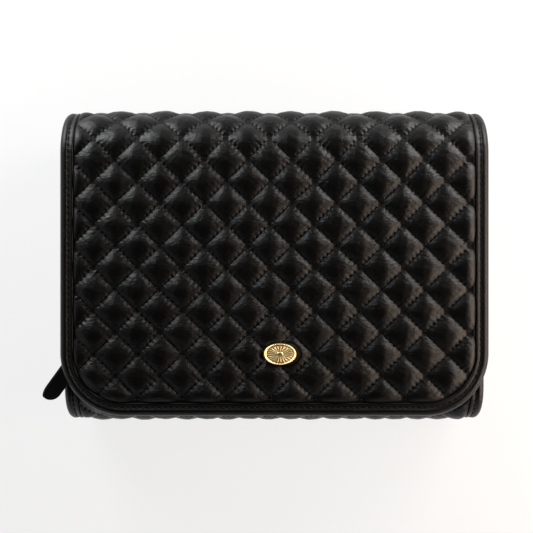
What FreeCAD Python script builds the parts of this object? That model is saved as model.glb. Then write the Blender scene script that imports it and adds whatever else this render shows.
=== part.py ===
import FreeCAD, Part

import math
import os

from FreeCAD import Vector

# A quilted leather jewellery case that lies on its back. One long quilted strip makes
# the flap, the rounded top fold, the back, the bottom fold and a short front lip. The
# lip closes a zipped pocket; above it is an open tray under the flap. The top fold is
# cut into rigid segments that are hinged on the outer skin, so the flap unrolls flat.
#
# Frame: X across the case, Y from the bottom fold to the top fold, Z up from the
# surface it lies on to the flap. The origin is in the middle of the back.

# Driving dimensions in millimetres and degrees

# Whole case
case_width = 228.0
case_height = 173.0
case_depth = 52.0

# Layers of a padded panel, from the outside in
quilt_crown = 2.3
quilt_base = 2.2
core_thickness = 2.0
lining_thickness = 0.9

# Quilting lattice: one row of stitch crossings lies at quilt_row_y on the flap
quilt_pitch_x = 23.6
quilt_pitch_y = 23.1
quilt_shift_x = -2.3
quilt_row_y = 45.4
pillow_top_share = 0.55
pillow_slope = 0.72
fold_step = 9.0

# Edge binding
binding_width = 8.0
binding_proud = 0.9
binding_under = 0.7
binding_wall = 2.2

# Flap and top fold
flap_end_gap = 7.5
flap_corner_radius = 34.0
flap_clearance = 3.4
spine_segments = 3
spine_seam = 0.3
spine_play = 0.1

# Front lip, zip and the pocket behind it
lip_reach = 61.5
zip_zone = 22.0
zip_window = 9.0
zip_slot = 10.4
zip_tape_thickness = 0.5
zip_tooth_pitch = 3.0
zip_tooth_width = 1.5
zip_tooth_reach = 2.0
zip_chain_gap = 0.8
zip_end_margin = 7.0
zip_stop_length = 2.8
zip_stop_width = 4.8
zip_stop_gap = 0.2
wall_thickness = 3.0
wall_clearance = 2.0

# Slider, pull ring and pull tab
slider_length = 10.0
slider_width = 8.4
slider_plate = 1.2
bridge_post_radius = 0.9
ring_wire_radius = 0.6
ring_half_width = 3.4
ring_length = 10.3
tab_length = 36.0
tab_width = 10.0
tab_thickness = 1.6
tab_direction = 234.0

# Closure magnets and the badge plate on the flap
magnet_radius = 7.0
magnet_spread = 60.0
badge_length = 17.6
badge_width = 11.6
badge_x = 2.9
badge_y = -46.5
badge_sink = 1.0

# Things in the tray and on the flap lining
ring_roll_radius = 8.0
ring_roll_length = 150.0
ring_roll_y = 42.0
ring_roll_pivot_x = 90.0
roll_strap_width = 12.0
roll_strap_thickness = 1.2
roll_end_gap = 14.0
roll_pad_height = 1.4
roll_pad_lift = 0.3
earring_pad_thickness = 2.4
earring_pad_margin = 16.0
earring_pad_gap = 3.0
earring_field = 168.0
earring_pair = 7.0
slip_pocket_width = 190.0
slip_pocket_height = 60.0
slip_pocket_drop = 18.0
slip_pocket_depth = 0.9
elastic_width = 5.0
elastic_thickness = 0.7

# Sizes that follow from them
half_width = case_width / 2
panel_depth = quilt_base + core_thickness + lining_thickness
flap_inner_z = case_depth - quilt_crown - panel_depth
lip_crown_z = flap_inner_z - flap_clearance
top_z = case_depth / 2
top_radius = top_z - quilt_crown
top_y = case_height / 2 - top_z
bottom_z = lip_crown_z / 2
bottom_radius = bottom_z - quilt_crown
bottom_y = bottom_z - case_height / 2
flap_end_y = flap_end_gap - case_height / 2
lip_end_y = lip_reach - case_height / 2
zip_y = lip_end_y - zip_zone / 2
back_inner_z = quilt_crown + panel_depth
flap_skin_z = case_depth - quilt_crown
lip_skin_z = lip_crown_z - quilt_crown
inlay = half_width - binding_wall - 0.2
field = half_width - binding_width

# Stations along the quilted strip, measured at the stitch lines from the flap's top edge
back_start = math.pi * top_radius
bottom_start = back_start + top_y - bottom_y
lip_start = bottom_start + math.pi * bottom_radius
fold_turn = math.pi / (spine_segments + 1)
hinge_turns = [fold_turn * (k + 0.5) for k in range(spine_segments + 1)]
binding_seam = binding_proud * math.tan(fold_turn / 2) + spine_play

X_AXIS = Vector(1, 0, 0)
Y_AXIS = Vector(0, 1, 0)
Z_AXIS = Vector(0, 0, 1)
TOP_CENTRE = Vector(0, top_y, top_z)
BOTTOM_CENTRE = Vector(0, bottom_y, bottom_z)


def box(x0, x1, y0, y1, z0, z1):
    """A block between two corners."""
    return Part.makeBox(x1 - x0, y1 - y0, z1 - z0, Vector(x0, y0, z0))


def disc(radius, x, y, z0, z1):
    """An upright round disc or post."""
    return Part.makeCylinder(radius, z1 - z0, Vector(x, y, z0))


def prism(points, depth):
    """A flat outline of points, drawn out along a vector."""
    return Part.Face(Part.makePolygon(points + points[:1])).extrude(depth)


def fused(shapes):
    """Shapes joined into one, without the seams between flat faces."""
    return shapes[0].fuse(shapes[1:]).removeSplitter()


def strip_point(x, s, h):
    """A point of the quilted strip: x across it, s along it, h out from the stitch lines."""
    if s <= 0:
        return Vector(x, top_y + s, flap_skin_z + h)
    if s <= back_start:
        turn = s / top_radius
        reach = top_radius + h
        return Vector(x, top_y + reach * math.sin(turn), top_z + reach * math.cos(turn))
    if s <= bottom_start:
        return Vector(x, top_y + back_start - s, quilt_crown - h)
    if s <= lip_start:
        turn = (s - bottom_start) / bottom_radius
        reach = bottom_radius + h
        return Vector(x, bottom_y - reach * math.sin(turn), bottom_z - reach * math.cos(turn))
    return Vector(x, bottom_y + s - lip_start, lip_skin_z + h)


def clipped(polygon, outline):
    """The part of a polygon that lies inside a convex outline, both counter-clockwise."""
    for a, b in zip(outline, outline[1:] + outline[:1]):
        sides = [(b[0] - a[0]) * (p[1] - a[1]) - (b[1] - a[1]) * (p[0] - a[0]) for p in polygon]
        kept = []
        for i, point in enumerate(polygon):
            before = polygon[i - 1]
            if (sides[i - 1] < 0) != (sides[i] < 0):
                t = sides[i - 1] / (sides[i - 1] - sides[i])
                kept.append(tuple(u + t * (v - u) for u, v in zip(before, point)))
            if sides[i] >= 0:
                kept.append(point)
        polygon = [tuple(round(u, 6) for u in p) for p in kept]
        polygon = [p for i, p in enumerate(polygon) if math.dist(p, polygon[i - 1]) > 1e-4]
        if len(polygon) < 3:
            return []
    return polygon


def quilt_cells(outline):
    """The diamonds of the quilting lattice, cut to an outline in strip coordinates."""
    dx = quilt_pitch_x / 2
    ds = quilt_pitch_y / 2
    s_row = quilt_row_y - top_y
    columns = range(-int(half_width / dx) - 2, int(half_width / dx) + 3)
    first = math.floor((min(p[1] for p in outline) - s_row) / ds) - 1
    last = math.ceil((max(p[1] for p in outline) - s_row) / ds) + 2
    cells = []
    for row in range(first, last):
        for column in columns:
            if (row + column) % 2 == 0:
                continue
            x = quilt_shift_x + column * dx
            s = s_row + row * ds
            diamond = [(x - dx, s), (x, s - ds), (x + dx, s), (x, s + ds)]
            cells.append(clipped(diamond, outline))
    return [bent_cell(cell) for cell in cells if cell]


def flat_stretch(stations):
    """True where all the stations lie in one flat part of the strip."""
    ends = ((-math.inf, 0), (back_start, bottom_start), (lip_start, math.inf))
    return any(min(stations) >= a and max(stations) <= b for a, b in ends)


def bent_edge(p, q):
    """An edge in strip coordinates, split in short steps where it runs round a fold."""
    first, last = sorted((p, q))
    count = 1 if flat_stretch((p[1], q[1])) else math.ceil(math.dist(p, q) / fold_step)
    points = [tuple(u + k / count * (v - u) for u, v in zip(first, last)) for k in range(count + 1)]
    points = points if p == first else points[::-1]
    return points[:-1]


def bent_cell(cell):
    """A cell whose edges follow the folds."""
    return [point for p, q in zip(cell, cell[1:] + cell[:1]) for point in bent_edge(p, q)]


def pillow_faces(cell):
    """Top, flanks and underside of one pillow, as flat faces."""
    count = len(cell)
    middle = tuple(sum(p[i] for p in cell) / count for i in (0, 1))
    inner = [tuple(m + pillow_top_share * (u - m) for u, m in zip(p, middle)) for p in cell]
    reach = []
    for p, q in zip(cell, cell[1:] + cell[:1]):
        cross = (q[0] - p[0]) * (middle[1] - p[1]) - (q[1] - p[1]) * (middle[0] - p[0])
        reach.append(abs(cross) / math.dist(p, q))
    height = min(quilt_crown, pillow_slope * (1 - pillow_top_share) * min(reach))
    foot = [strip_point(x, s, 0) for x, s in cell]
    crown = [strip_point(x, s, height) for x, s in inner]
    below = [strip_point(x, s, -quilt_base) for x, s in cell]
    peak = strip_point(middle[0], middle[1], height)
    root = strip_point(middle[0], middle[1], -quilt_base)
    flat = flat_stretch([s for x, s in cell])
    loops = [crown, below] if flat else []
    for i in range(count):
        j = (i + 1) % count
        if flat:
            loops.append([foot[i], foot[j], crown[j], crown[i]])
            continue
        loops.append([foot[i], foot[j], crown[j]])
        loops.append([foot[i], crown[j], crown[i]])
        loops.append([crown[i], crown[j], peak])
        loops.append([below[i], below[j], root])
    return [Part.Face(Part.makePolygon(loop + loop[:1])) for loop in loops]


def quilted(outline):
    """A padded cover over an outline in strip coordinates: one pillow in each diamond."""
    faces = []
    edges = {}
    for cell in quilt_cells(outline):
        faces += pillow_faces(cell)
        for p, q in zip(cell, cell[1:] + cell[:1]):
            key = tuple(sorted([tuple(round(u, 3) for u in p), tuple(round(u, 3) for u in q)]))
            edges.setdefault(key, []).append((p, q))
    for found in edges.values():
        if len(found) == 1:
            p, q = found[0]
            rim = [strip_point(*p, 0), strip_point(*q, 0)]
            rim += [strip_point(*q, -quilt_base), strip_point(*p, -quilt_base)]
            faces.append(Part.Face(Part.makePolygon(rim + rim[:1])))
    shell = Part.makeShell(faces)
    shell.sewShape()
    solid = Part.makeSolid(shell)
    if solid.Volume < 0:
        solid.reverse()
    return solid.removeSplitter()


def stretch(s0, s1):
    """The straight-sided outline of a cover between two stations of the strip."""
    return [(-field, s0), (field, s0), (field, s1), (-field, s1)]


def rounded_stretch(s0, s1, radius, steps=8):
    """A cover outline whose two corners at the first station are rounded."""
    outline = []
    for centre_x, start in ((radius - field, math.pi), (field - radius, 1.5 * math.pi)):
        for k in range(steps + 1):
            turn = start + k * math.pi / 2 / steps
            outline.append((centre_x + radius * math.cos(turn), s0 + radius + radius * math.sin(turn)))
    return outline + [(field, s1), (-field, s1)]


def flap_plate(inset, top, z0, z1):
    """A flat plate in the flap's outline, inset from its edge, up to a height."""
    side = half_width - inset
    end = flap_end_y + inset
    radius = flap_corner_radius - inset
    bend = radius * math.sqrt(0.5)
    corners = [Vector(x * side, y, z0) for x, y in ((1, top), (-1, top), (-1, end + radius))]
    left = Part.Arc(
        corners[2],
        Vector(radius - side - bend, end + radius - bend, z0),
        Vector(radius - side, end, z0),
    )
    right = Part.Arc(
        Vector(side - radius, end, z0),
        Vector(side - radius + bend, end + radius - bend, z0),
        Vector(side, end + radius, z0),
    )
    edges = [
        Part.makeLine(corners[0], corners[1]),
        Part.makeLine(corners[1], corners[2]),
        left.toShape(),
        Part.makeLine(Vector(radius - side, end, z0), Vector(side - radius, end, z0)),
        right.toShape(),
        Part.makeLine(Vector(side, end + radius, z0), corners[0]),
    ]
    return Part.Face(Part.Wire(edges)).extrude(Vector(0, 0, z1 - z0))


def binding_section(edge, inward, outward):
    """The folded leather channel that wraps a panel edge, as a face across the edge."""
    top = binding_proud
    base = -panel_depth - binding_under
    nose = (top - base) / 2

    def at(u, v):
        return edge + inward * u + outward * v

    path = [
        at(nose, top),
        at(binding_width, top),
        at(binding_width, -quilt_base),
        at(binding_wall, -quilt_base),
        at(binding_wall, -panel_depth),
        at(binding_width, -panel_depth),
        at(binding_width, base),
        at(nose, base),
    ]
    edges = [Part.makeLine(p, q) for p, q in zip(path, path[1:])]
    edges.append(Part.Arc(path[-1], at(0, (top + base) / 2), path[0]).toShape())
    return Part.Face(Part.Wire(edges))


def side_sections(y, z, outward):
    """Binding sections at the left and right edge of the strip."""
    return [
        binding_section(Vector(side * half_width, y, z), X_AXIS * -side, outward)
        for side in (-1, 1)
    ]


def top_fold_bindings(turn0, turn1):
    """Left and right binding round a part of the top fold, by turn from the flap."""
    rings = []
    for section in side_sections(top_y, flap_skin_z, Z_AXIS):
        start = section.rotated(TOP_CENTRE, X_AXIS, -math.degrees(turn0))
        rings.append(start.revolve(TOP_CENTRE, X_AXIS, -math.degrees(turn1 - turn0)))
    return rings


def fold_sheet(centre, outer, inner, start, sweep):
    """A curved sheet across the case, round a fold's centre line, angles from straight up."""
    x0 = Vector(-inlay, centre.y, centre.z)
    sheet = Part.makeCylinder(outer, 2 * inlay, x0, X_AXIS)
    sheet = sheet.cut(Part.makeCylinder(inner, 2 * inlay, x0, X_AXIS))
    far = 3 * outer
    steps = [start + sweep * k / 4 for k in range(5)]
    wedge = [x0]
    for turn in steps:
        wedge.append(x0 + Vector(0, far * math.sin(turn), far * math.cos(turn)))
    return sheet.common(prism(wedge, X_AXIS * (2 * inlay)))


def cover_underside(radius):
    """How far in a faceted cover may reach on a fold of this radius at the stitch lines."""
    half_angle = quilt_pitch_y / 4 / radius
    return (radius - quilt_base) * math.cos(half_angle) - 0.1


def make_flap():
    """The flap: quilted cover, board, lining, binding, magnets, badge and slip pocket."""
    seam = spine_seam / 2
    lip_end = hinge_turns[0] * top_radius - seam
    corner = flap_corner_radius - binding_width
    cover = quilted(rounded_stretch(flap_end_y + binding_width - top_y, lip_end, corner))
    core_z = flap_inner_z + lining_thickness
    board = flap_plate(inlay_gap(), board_top(), core_z, flap_skin_z - quilt_base)
    lining = flap_plate(inlay_gap(), top_y, flap_inner_z, core_z)
    lining_radius = top_radius - panel_depth
    lip_turn = lip_end / top_radius
    lip = fold_sheet(TOP_CENTRE, lining_radius + lining_thickness, lining_radius, 0, lip_turn)
    magnets = []
    for x in (-magnet_spread, magnet_spread):
        hole = disc(magnet_radius + 0.2, x, magnet_y(), 0, case_depth)
        board = board.cut(hole)
        magnets.append(disc(magnet_radius, x, magnet_y(), core_z, flap_skin_z - quilt_base))
    badge, washers, seat, board_holes = make_badge()
    return {
        "flap_cover": cover.cut(seat),
        "flap_board": board.cut(board_holes),
        "flap_lining": fused([lining, lip]),
        "flap_binding": flap_edge_binding(hinge_turns[0] - binding_seam / top_radius),
        "flap_magnets": Part.makeCompound(magnets),
        "badge_plate": badge,
        "badge_washers": washers,
        "slip_pocket": slip_pocket_panel(),
        "slip_pocket_elastic": slip_pocket_band(),
    }


def board_top():
    """Where the flat boards end below the top fold, clear of the last bent pillows."""
    return top_y - quilt_pitch_y / 2


def inlay_gap():
    """Inset of boards and linings from the outer edge, inside the binding."""
    return half_width - inlay


def magnet_y():
    """Height of the closure magnets, in the middle of the lip's quilted field."""
    return (bottom_y + zip_y - zip_zone / 2) / 2


def flap_edge_binding(lip_turn):
    """Binding round the flap: over the fold, down both sides and round the lower corners."""
    pieces = top_fold_bindings(0, lip_turn)
    turn_y = flap_end_y + flap_corner_radius
    for side, section in zip((-1, 1), side_sections(turn_y, flap_skin_z, Z_AXIS)):
        pieces.append(section.extrude(Vector(0, top_y - turn_y, 0)))
        centre = Vector(side * (half_width - flap_corner_radius), turn_y, flap_skin_z)
        pieces.append(section.revolve(centre, Z_AXIS, -side * 90))
    run = case_width - 2 * flap_corner_radius
    start = Vector(-run / 2, flap_end_y, flap_skin_z)
    pieces.append(binding_section(start, Y_AXIS, Z_AXIS).extrude(Vector(run, 0, 0)))
    return fused(pieces)


def oval(length, width, z0, z1):
    """An oval plate at the badge's place."""
    curve = Part.Ellipse(Vector(badge_x, badge_y, z0), length / 2, width / 2).toShape()
    return Part.Face(Part.Wire([curve])).extrude(Vector(0, 0, z1 - z0))


def make_badge():
    """A plain oval plate with a raised rim, its washers, its seat and the board's holes."""
    seat_z = case_depth - badge_sink
    board_z = flap_skin_z - quilt_base
    plate = oval(badge_length, badge_width, seat_z, seat_z + 1.2)
    rim = oval(badge_length, badge_width, seat_z, seat_z + 2.0)
    rim = rim.cut(oval(badge_length - 2.4, badge_width - 2.4, seat_z, seat_z + 3))
    seat = oval(badge_length + 0.4, badge_width + 0.4, seat_z, case_depth + 5)
    posts = []
    holes = []
    washers = []
    for x in (badge_x - badge_length / 4, badge_x + badge_length / 4):
        posts.append(disc(0.9, x, badge_y, board_z - 1.2, seat_z))
        seat = seat.fuse(disc(1.0, x, badge_y, 0, case_depth))
        holes.append(disc(2.7, x, badge_y, 0, case_depth))
        washer = disc(2.5, x, badge_y, board_z - 0.8, board_z)
        washers.append(washer.cut(disc(0.95, x, badge_y, 0, case_depth)))
    return fused([plate, rim] + posts), Part.makeCompound(washers), seat, Part.makeCompound(holes)


def slip_pocket_panel():
    """The flat pocket sewn to the flap lining, open towards the top fold."""
    half = slip_pocket_width / 2
    top = slip_pocket_top()
    return box(-half, half, top - slip_pocket_height, top, flap_inner_z - slip_pocket_depth, flap_inner_z)


def slip_pocket_band():
    """The elastic band along the slip pocket's open edge."""
    half = slip_pocket_width / 2
    top = slip_pocket_top()
    pocket_z = flap_inner_z - slip_pocket_depth
    return box(-half, half, top - elastic_width, top, pocket_z - elastic_thickness, pocket_z)


def slip_pocket_top():
    """Height of the slip pocket's open edge."""
    return top_y - slip_pocket_drop


def make_spine():
    """The segments of the top fold, numbered from the back to the flap."""
    nodes = {}
    seam = spine_seam / 2 / top_radius
    edge_seam = binding_seam / top_radius
    outer = cover_underside(top_radius)
    inner = top_radius - panel_depth
    for number in range(1, spine_segments + 1):
        k = spine_segments - number
        turn0 = hinge_turns[k] + seam
        turn1 = hinge_turns[k + 1] - seam
        nodes[f"spine_cover_{number}"] = quilted(stretch(turn0 * top_radius, turn1 * top_radius))
        nodes[f"spine_lining_{number}"] = fold_sheet(TOP_CENTRE, outer, inner, turn0, turn1 - turn0)
        edges = top_fold_bindings(hinge_turns[k] + edge_seam, hinge_turns[k + 1] - edge_seam)
        nodes[f"spine_binding_{number}"] = Part.makeCompound(edges)
    return nodes


def make_back():
    """The back panel with its short turn into the top fold."""
    seam = spine_seam / 2
    lip_turn = hinge_turns[-1] + seam / top_radius
    lining_radius = top_radius - panel_depth
    board_z = quilt_crown + quilt_base
    lining = box(-inlay, inlay, bottom_y, top_y, board_z + core_thickness, back_inner_z)
    lip_skin = lining_radius + lining_thickness
    lip = fold_sheet(TOP_CENTRE, lip_skin, lining_radius, lip_turn, math.pi - lip_turn)
    edge_turn = hinge_turns[-1] + binding_seam / top_radius
    binding = []
    sections = side_sections(bottom_y, quilt_crown, Z_AXIS * -1)
    for section, ring in zip(sections, top_fold_bindings(edge_turn, math.pi)):
        binding.append(fused([section.extrude(Vector(0, top_y - bottom_y, 0)), ring]))
    return {
        "back_cover": quilted(stretch(lip_turn * top_radius, bottom_start)),
        "back_board": box(-inlay, inlay, bottom_y, board_top(), board_z, board_z + core_thickness),
        "back_lining": fused([lining, lip]),
        "back_binding": Part.makeCompound(binding),
    }


def make_bottom():
    """The bottom fold between the back and the front lip."""
    sections = side_sections(bottom_y, lip_skin_z, Z_AXIS)
    binding = [section.revolve(BOTTOM_CENTRE, X_AXIS, 180) for section in sections]
    inner = bottom_radius - panel_depth
    sheet = fold_sheet(BOTTOM_CENTRE, cover_underside(bottom_radius), inner, math.pi, math.pi)
    return {
        "bottom_cover": quilted(stretch(bottom_start, lip_start)),
        "bottom_lining": sheet,
        "bottom_binding": Part.makeCompound(binding),
    }


def make_lip():
    """The front lip, the pocket's partition and the side walls of the tray."""
    field_end = zip_y - zip_zone / 2
    board_end = zip_y - zip_slot / 2
    board_z = lip_skin_z - quilt_base - core_thickness
    board = box(-inlay, inlay, bottom_y, board_end, board_z, board_z + core_thickness)
    lining = box(-inlay, inlay, bottom_y, board_end, board_z - lining_thickness, board_z)
    magnets = []
    for x in (-magnet_spread, magnet_spread):
        board = board.cut(disc(magnet_radius + 0.2, x, magnet_y(), 0, case_depth))
        magnets.append(disc(magnet_radius, x, magnet_y(), board_z, board_z + core_thickness))
    run = Vector(0, lip_end_y - bottom_y, 0)
    binding = [s.extrude(run) for s in side_sections(bottom_y, lip_skin_z, Z_AXIS)]
    span = half_width - binding_width
    wall = box(-span, span, lip_end_y - wall_thickness, lip_end_y, back_inner_z, board_z)
    shelf = box(-inlay, inlay, zip_y + zip_slot / 2, lip_end_y, board_z, board_z + core_thickness)
    nodes = {
        "lip_cover": quilted(stretch(lip_start, lip_start + field_end - bottom_y)),
        "lip_board": board,
        "lip_lining": lining,
        "lip_binding": Part.makeCompound(binding),
        "lip_magnets": Part.makeCompound(magnets),
        "pocket_partition": fused([wall, shelf]),
    }
    for name, side in (("side_wall_left", -1), ("side_wall_right", 1)):
        nodes[name] = side_wall(side)
    return nodes


def side_wall(side):
    """One stiff side wall: low under the lip, taller beside the tray, round at both ends."""
    reach = bottom_radius - panel_depth - binding_under
    floor_z = bottom_z - reach
    shelf_z = bottom_z + reach
    wall_top = flap_inner_z - binding_under - wall_clearance
    wall_end = top_y - 2
    outer = side * (half_width - binding_width + wall_thickness)
    low = box(0, wall_thickness, bottom_y, lip_end_y, floor_z, shelf_z)
    high = box(0, wall_thickness, lip_end_y + 0.2, wall_end, floor_z, wall_top)
    joint = box(0, wall_thickness, lip_end_y, lip_end_y + 0.2, floor_z, shelf_z)
    bend = Part.makeCylinder(reach, wall_thickness, Vector(0, bottom_y, bottom_z), X_AXIS)
    bend = bend.common(box(0, wall_thickness, bottom_y - reach, bottom_y, floor_z, shelf_z))
    round_end = (wall_top - floor_z) / 2
    nose = Part.makeCylinder(round_end, wall_thickness, Vector(0, wall_end, floor_z + round_end), X_AXIS)
    nose = nose.common(box(0, wall_thickness, wall_end, wall_end + round_end, floor_z, wall_top))
    wall = fused([low, joint, high, bend, nose])
    return wall.translated(Vector(min(outer, outer - side * wall_thickness), 0, 0))


def make_zip():
    """Facings, tapes, tooth rows and stops of the pocket's zip."""
    nodes = {}
    tape_z = lip_skin_z - 1.2
    facing_top = lip_skin_z + 0.5
    base_z = lip_skin_z - quilt_base
    chain = half_width - binding_width - zip_end_margin
    for name, side in (("lower", -1), ("upper", 1)):
        outer = zip_y + side * zip_zone / 2
        inner = zip_y + side * zip_window / 2
        tape_out = outer - side * 1.4
        tape_in = zip_y + side * (zip_chain_gap / 2 + zip_tooth_reach)
        low, high = sorted((outer, inner))
        facing = box(-field, field, low, high, base_z, facing_top)
        low, high = sorted((tape_out, inner))
        facing = facing.cut(box(-field, field, low, high, tape_z, tape_z + zip_tape_thickness))
        low, high = sorted((tape_out, tape_in))
        nodes[f"zip_facing_{name}"] = facing
        nodes[f"zip_tape_{name}"] = box(-field, field, low, high, tape_z, tape_z + zip_tape_thickness)
        nodes[f"zip_teeth_{name}"] = tooth_row(side, tape_in, chain, tape_z)
    stops = []
    for x in (-chain - zip_stop_gap - zip_stop_length, chain + zip_stop_gap):
        low, high = zip_y - zip_stop_width / 2, zip_y + zip_stop_width / 2
        stops.append(box(x, x + zip_stop_length, low, high, tape_z - 0.6, tape_z + 1.1))
    tapes = [nodes["zip_tape_lower"], nodes["zip_tape_upper"]]
    nodes["zip_stops"] = Part.makeCompound([stop.cut(tapes[0]).cut(tapes[1]) for stop in stops])
    return nodes


def tooth_row(side, root_y, chain, tape_z):
    """One comb of zip teeth; the two rows are half a pitch apart."""
    tip_y = zip_y + side * zip_chain_gap / 2
    rail_y = root_y - side * 0.7
    count = int((2 * chain - zip_tooth_pitch) / zip_tooth_pitch)
    outline = [(-chain, root_y), (-chain, rail_y)]
    for k in range(count):
        x = -chain + 0.4 + (k + (0.5 if side > 0 else 0)) * zip_tooth_pitch
        end = x + zip_tooth_width
        outline += [(x, rail_y), (x, tip_y), (end, tip_y), (end, rail_y)]
    outline += [(chain, rail_y), (chain, root_y)]
    points = [Vector(x, y, tape_z - 0.5) for x, y in outline]
    return prism(points, Vector(0, 0, 1.5))


def slider_x():
    """Left end of the slider at rest, against the left stop."""
    return -(half_width - binding_width - zip_end_margin) + 0.4


def make_slider():
    """The zip slider: two plates on a thin blade, and a bridge for the pull ring."""
    x0 = slider_x()
    x1 = x0 + slider_length
    half = slider_width / 2
    channel_low = lip_skin_z - 1.9
    channel_high = lip_skin_z
    top = channel_high + slider_plate
    plates = [
        box(x0, x1, zip_y - half, zip_y + half, channel_high, top),
        box(x0, x1, zip_y - half, zip_y + half, channel_low - slider_plate, channel_low),
        box(x0, x0 + 3, zip_y - 0.25, zip_y + 0.25, channel_low, channel_high),
    ]
    for z0, z1 in ((channel_high - 0.4, channel_high), (channel_low, channel_low + 0.4)):
        for y in (zip_y - half, zip_y + half - 1):
            plates.append(box(x0, x1, y, y + 1, z0, z1))
    bar_z = ring_z() + ring_wire_radius + 0.15
    bar_end = pivot_x() + 7
    low, high = zip_y - bridge_post_radius, zip_y + bridge_post_radius
    bridge = [
        disc(bridge_post_radius, pivot_x(), zip_y, top, bar_z + 0.9),
        box(pivot_x(), bar_end, low, high, bar_z, bar_z + 0.9),
        box(bar_end - 1.2, bar_end, low, high, top, bar_z + 0.9),
    ]
    return {"zip_slider": fused(plates + bridge)}


def pivot_x():
    """The bridge post, which is the axis of the pull."""
    return slider_x() + 1.4


def ring_z():
    """Height of the pull ring's wire."""
    return lip_crown_z + 1.2


def make_pull():
    """The pull: a wire ring round the bridge post, a leather tab and its rivet, drawn along X."""
    back = ring_wire_radius + bridge_post_radius + 0.3
    front = ring_length - back
    side = ring_half_width
    corner = 1.1
    bend = corner * (1 - math.sqrt(0.5))
    points = {
        "a": Vector(side - back, side, 0),
        "b": Vector(front - corner, side, 0),
        "c": Vector(front, side - corner, 0),
        "d": Vector(front, corner - side, 0),
        "e": Vector(front - corner, -side, 0),
        "f": Vector(side - back, -side, 0),
    }
    path = Part.Wire([
        Part.makeLine(points["a"], points["b"]),
        Part.Arc(points["b"], Vector(front - bend, side - bend, 0), points["c"]).toShape(),
        Part.makeLine(points["c"], points["d"]),
        Part.Arc(points["d"], Vector(front - bend, bend - side, 0), points["e"]).toShape(),
        Part.makeLine(points["e"], points["f"]),
        Part.Arc(points["f"], Vector(-back, 0, 0), points["a"]).toShape(),
    ])
    section = Part.Wire([Part.makeCircle(ring_wire_radius, points["a"], X_AXIS)])
    ring = path.makePipeShell([section], True, True)
    eye = tab_thickness / 2 + 0.55
    neck = side - corner
    loop = Part.makeCylinder(eye, 2 * neck, Vector(front, -neck, 0), Y_AXIS)
    bore = Part.makeCylinder(ring_wire_radius + 0.05, 2 * neck, Vector(front, -neck, 0), Y_AXIS)
    half = tab_width / 2
    tip = front + tab_length
    shoulder = front + 6
    outline = [
        Part.makeLine(Vector(front, neck, 0), Vector(front + 2, neck, 0)),
        Part.makeLine(Vector(front + 2, neck, 0), Vector(shoulder, half, 0)),
        Part.makeLine(Vector(shoulder, half, 0), Vector(tip - half, half, 0)),
        Part.Arc(Vector(tip - half, half, 0), Vector(tip, 0, 0), Vector(tip - half, -half, 0)).toShape(),
        Part.makeLine(Vector(tip - half, -half, 0), Vector(shoulder, -half, 0)),
        Part.makeLine(Vector(shoulder, -half, 0), Vector(front + 2, -neck, 0)),
        Part.makeLine(Vector(front + 2, -neck, 0), Vector(front, -neck, 0)),
        Part.makeLine(Vector(front, -neck, 0), Vector(front, neck, 0)),
    ]
    strap = Part.Face(Part.Wire(outline)).extrude(Vector(0, 0, tab_thickness))
    strap = strap.translated(Vector(0, 0, -tab_thickness / 2))
    rivet_x = front + 8.5
    strap = strap.fuse(loop).cut(bore).cut(disc(1.05, rivet_x, 0, -5, 5)).removeSplitter()
    shank = tab_thickness / 2
    rivet = fused([
        disc(1.0, rivet_x, 0, -shank, shank),
        disc(2.2, rivet_x, 0, shank, shank + 0.3),
        disc(2.2, rivet_x, 0, -shank - 0.3, -shank),
    ])
    turn = FreeCAD.Placement(
        Vector(pivot_x(), zip_y, ring_z()), FreeCAD.Rotation(Z_AXIS, tab_direction)
    )
    shapes = {"pull_ring": Part.Solid(ring), "pull_tab": strap, "pull_rivet": rivet}
    return {name: shape.transformed(turn.toMatrix()) for name, shape in shapes.items()}


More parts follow.
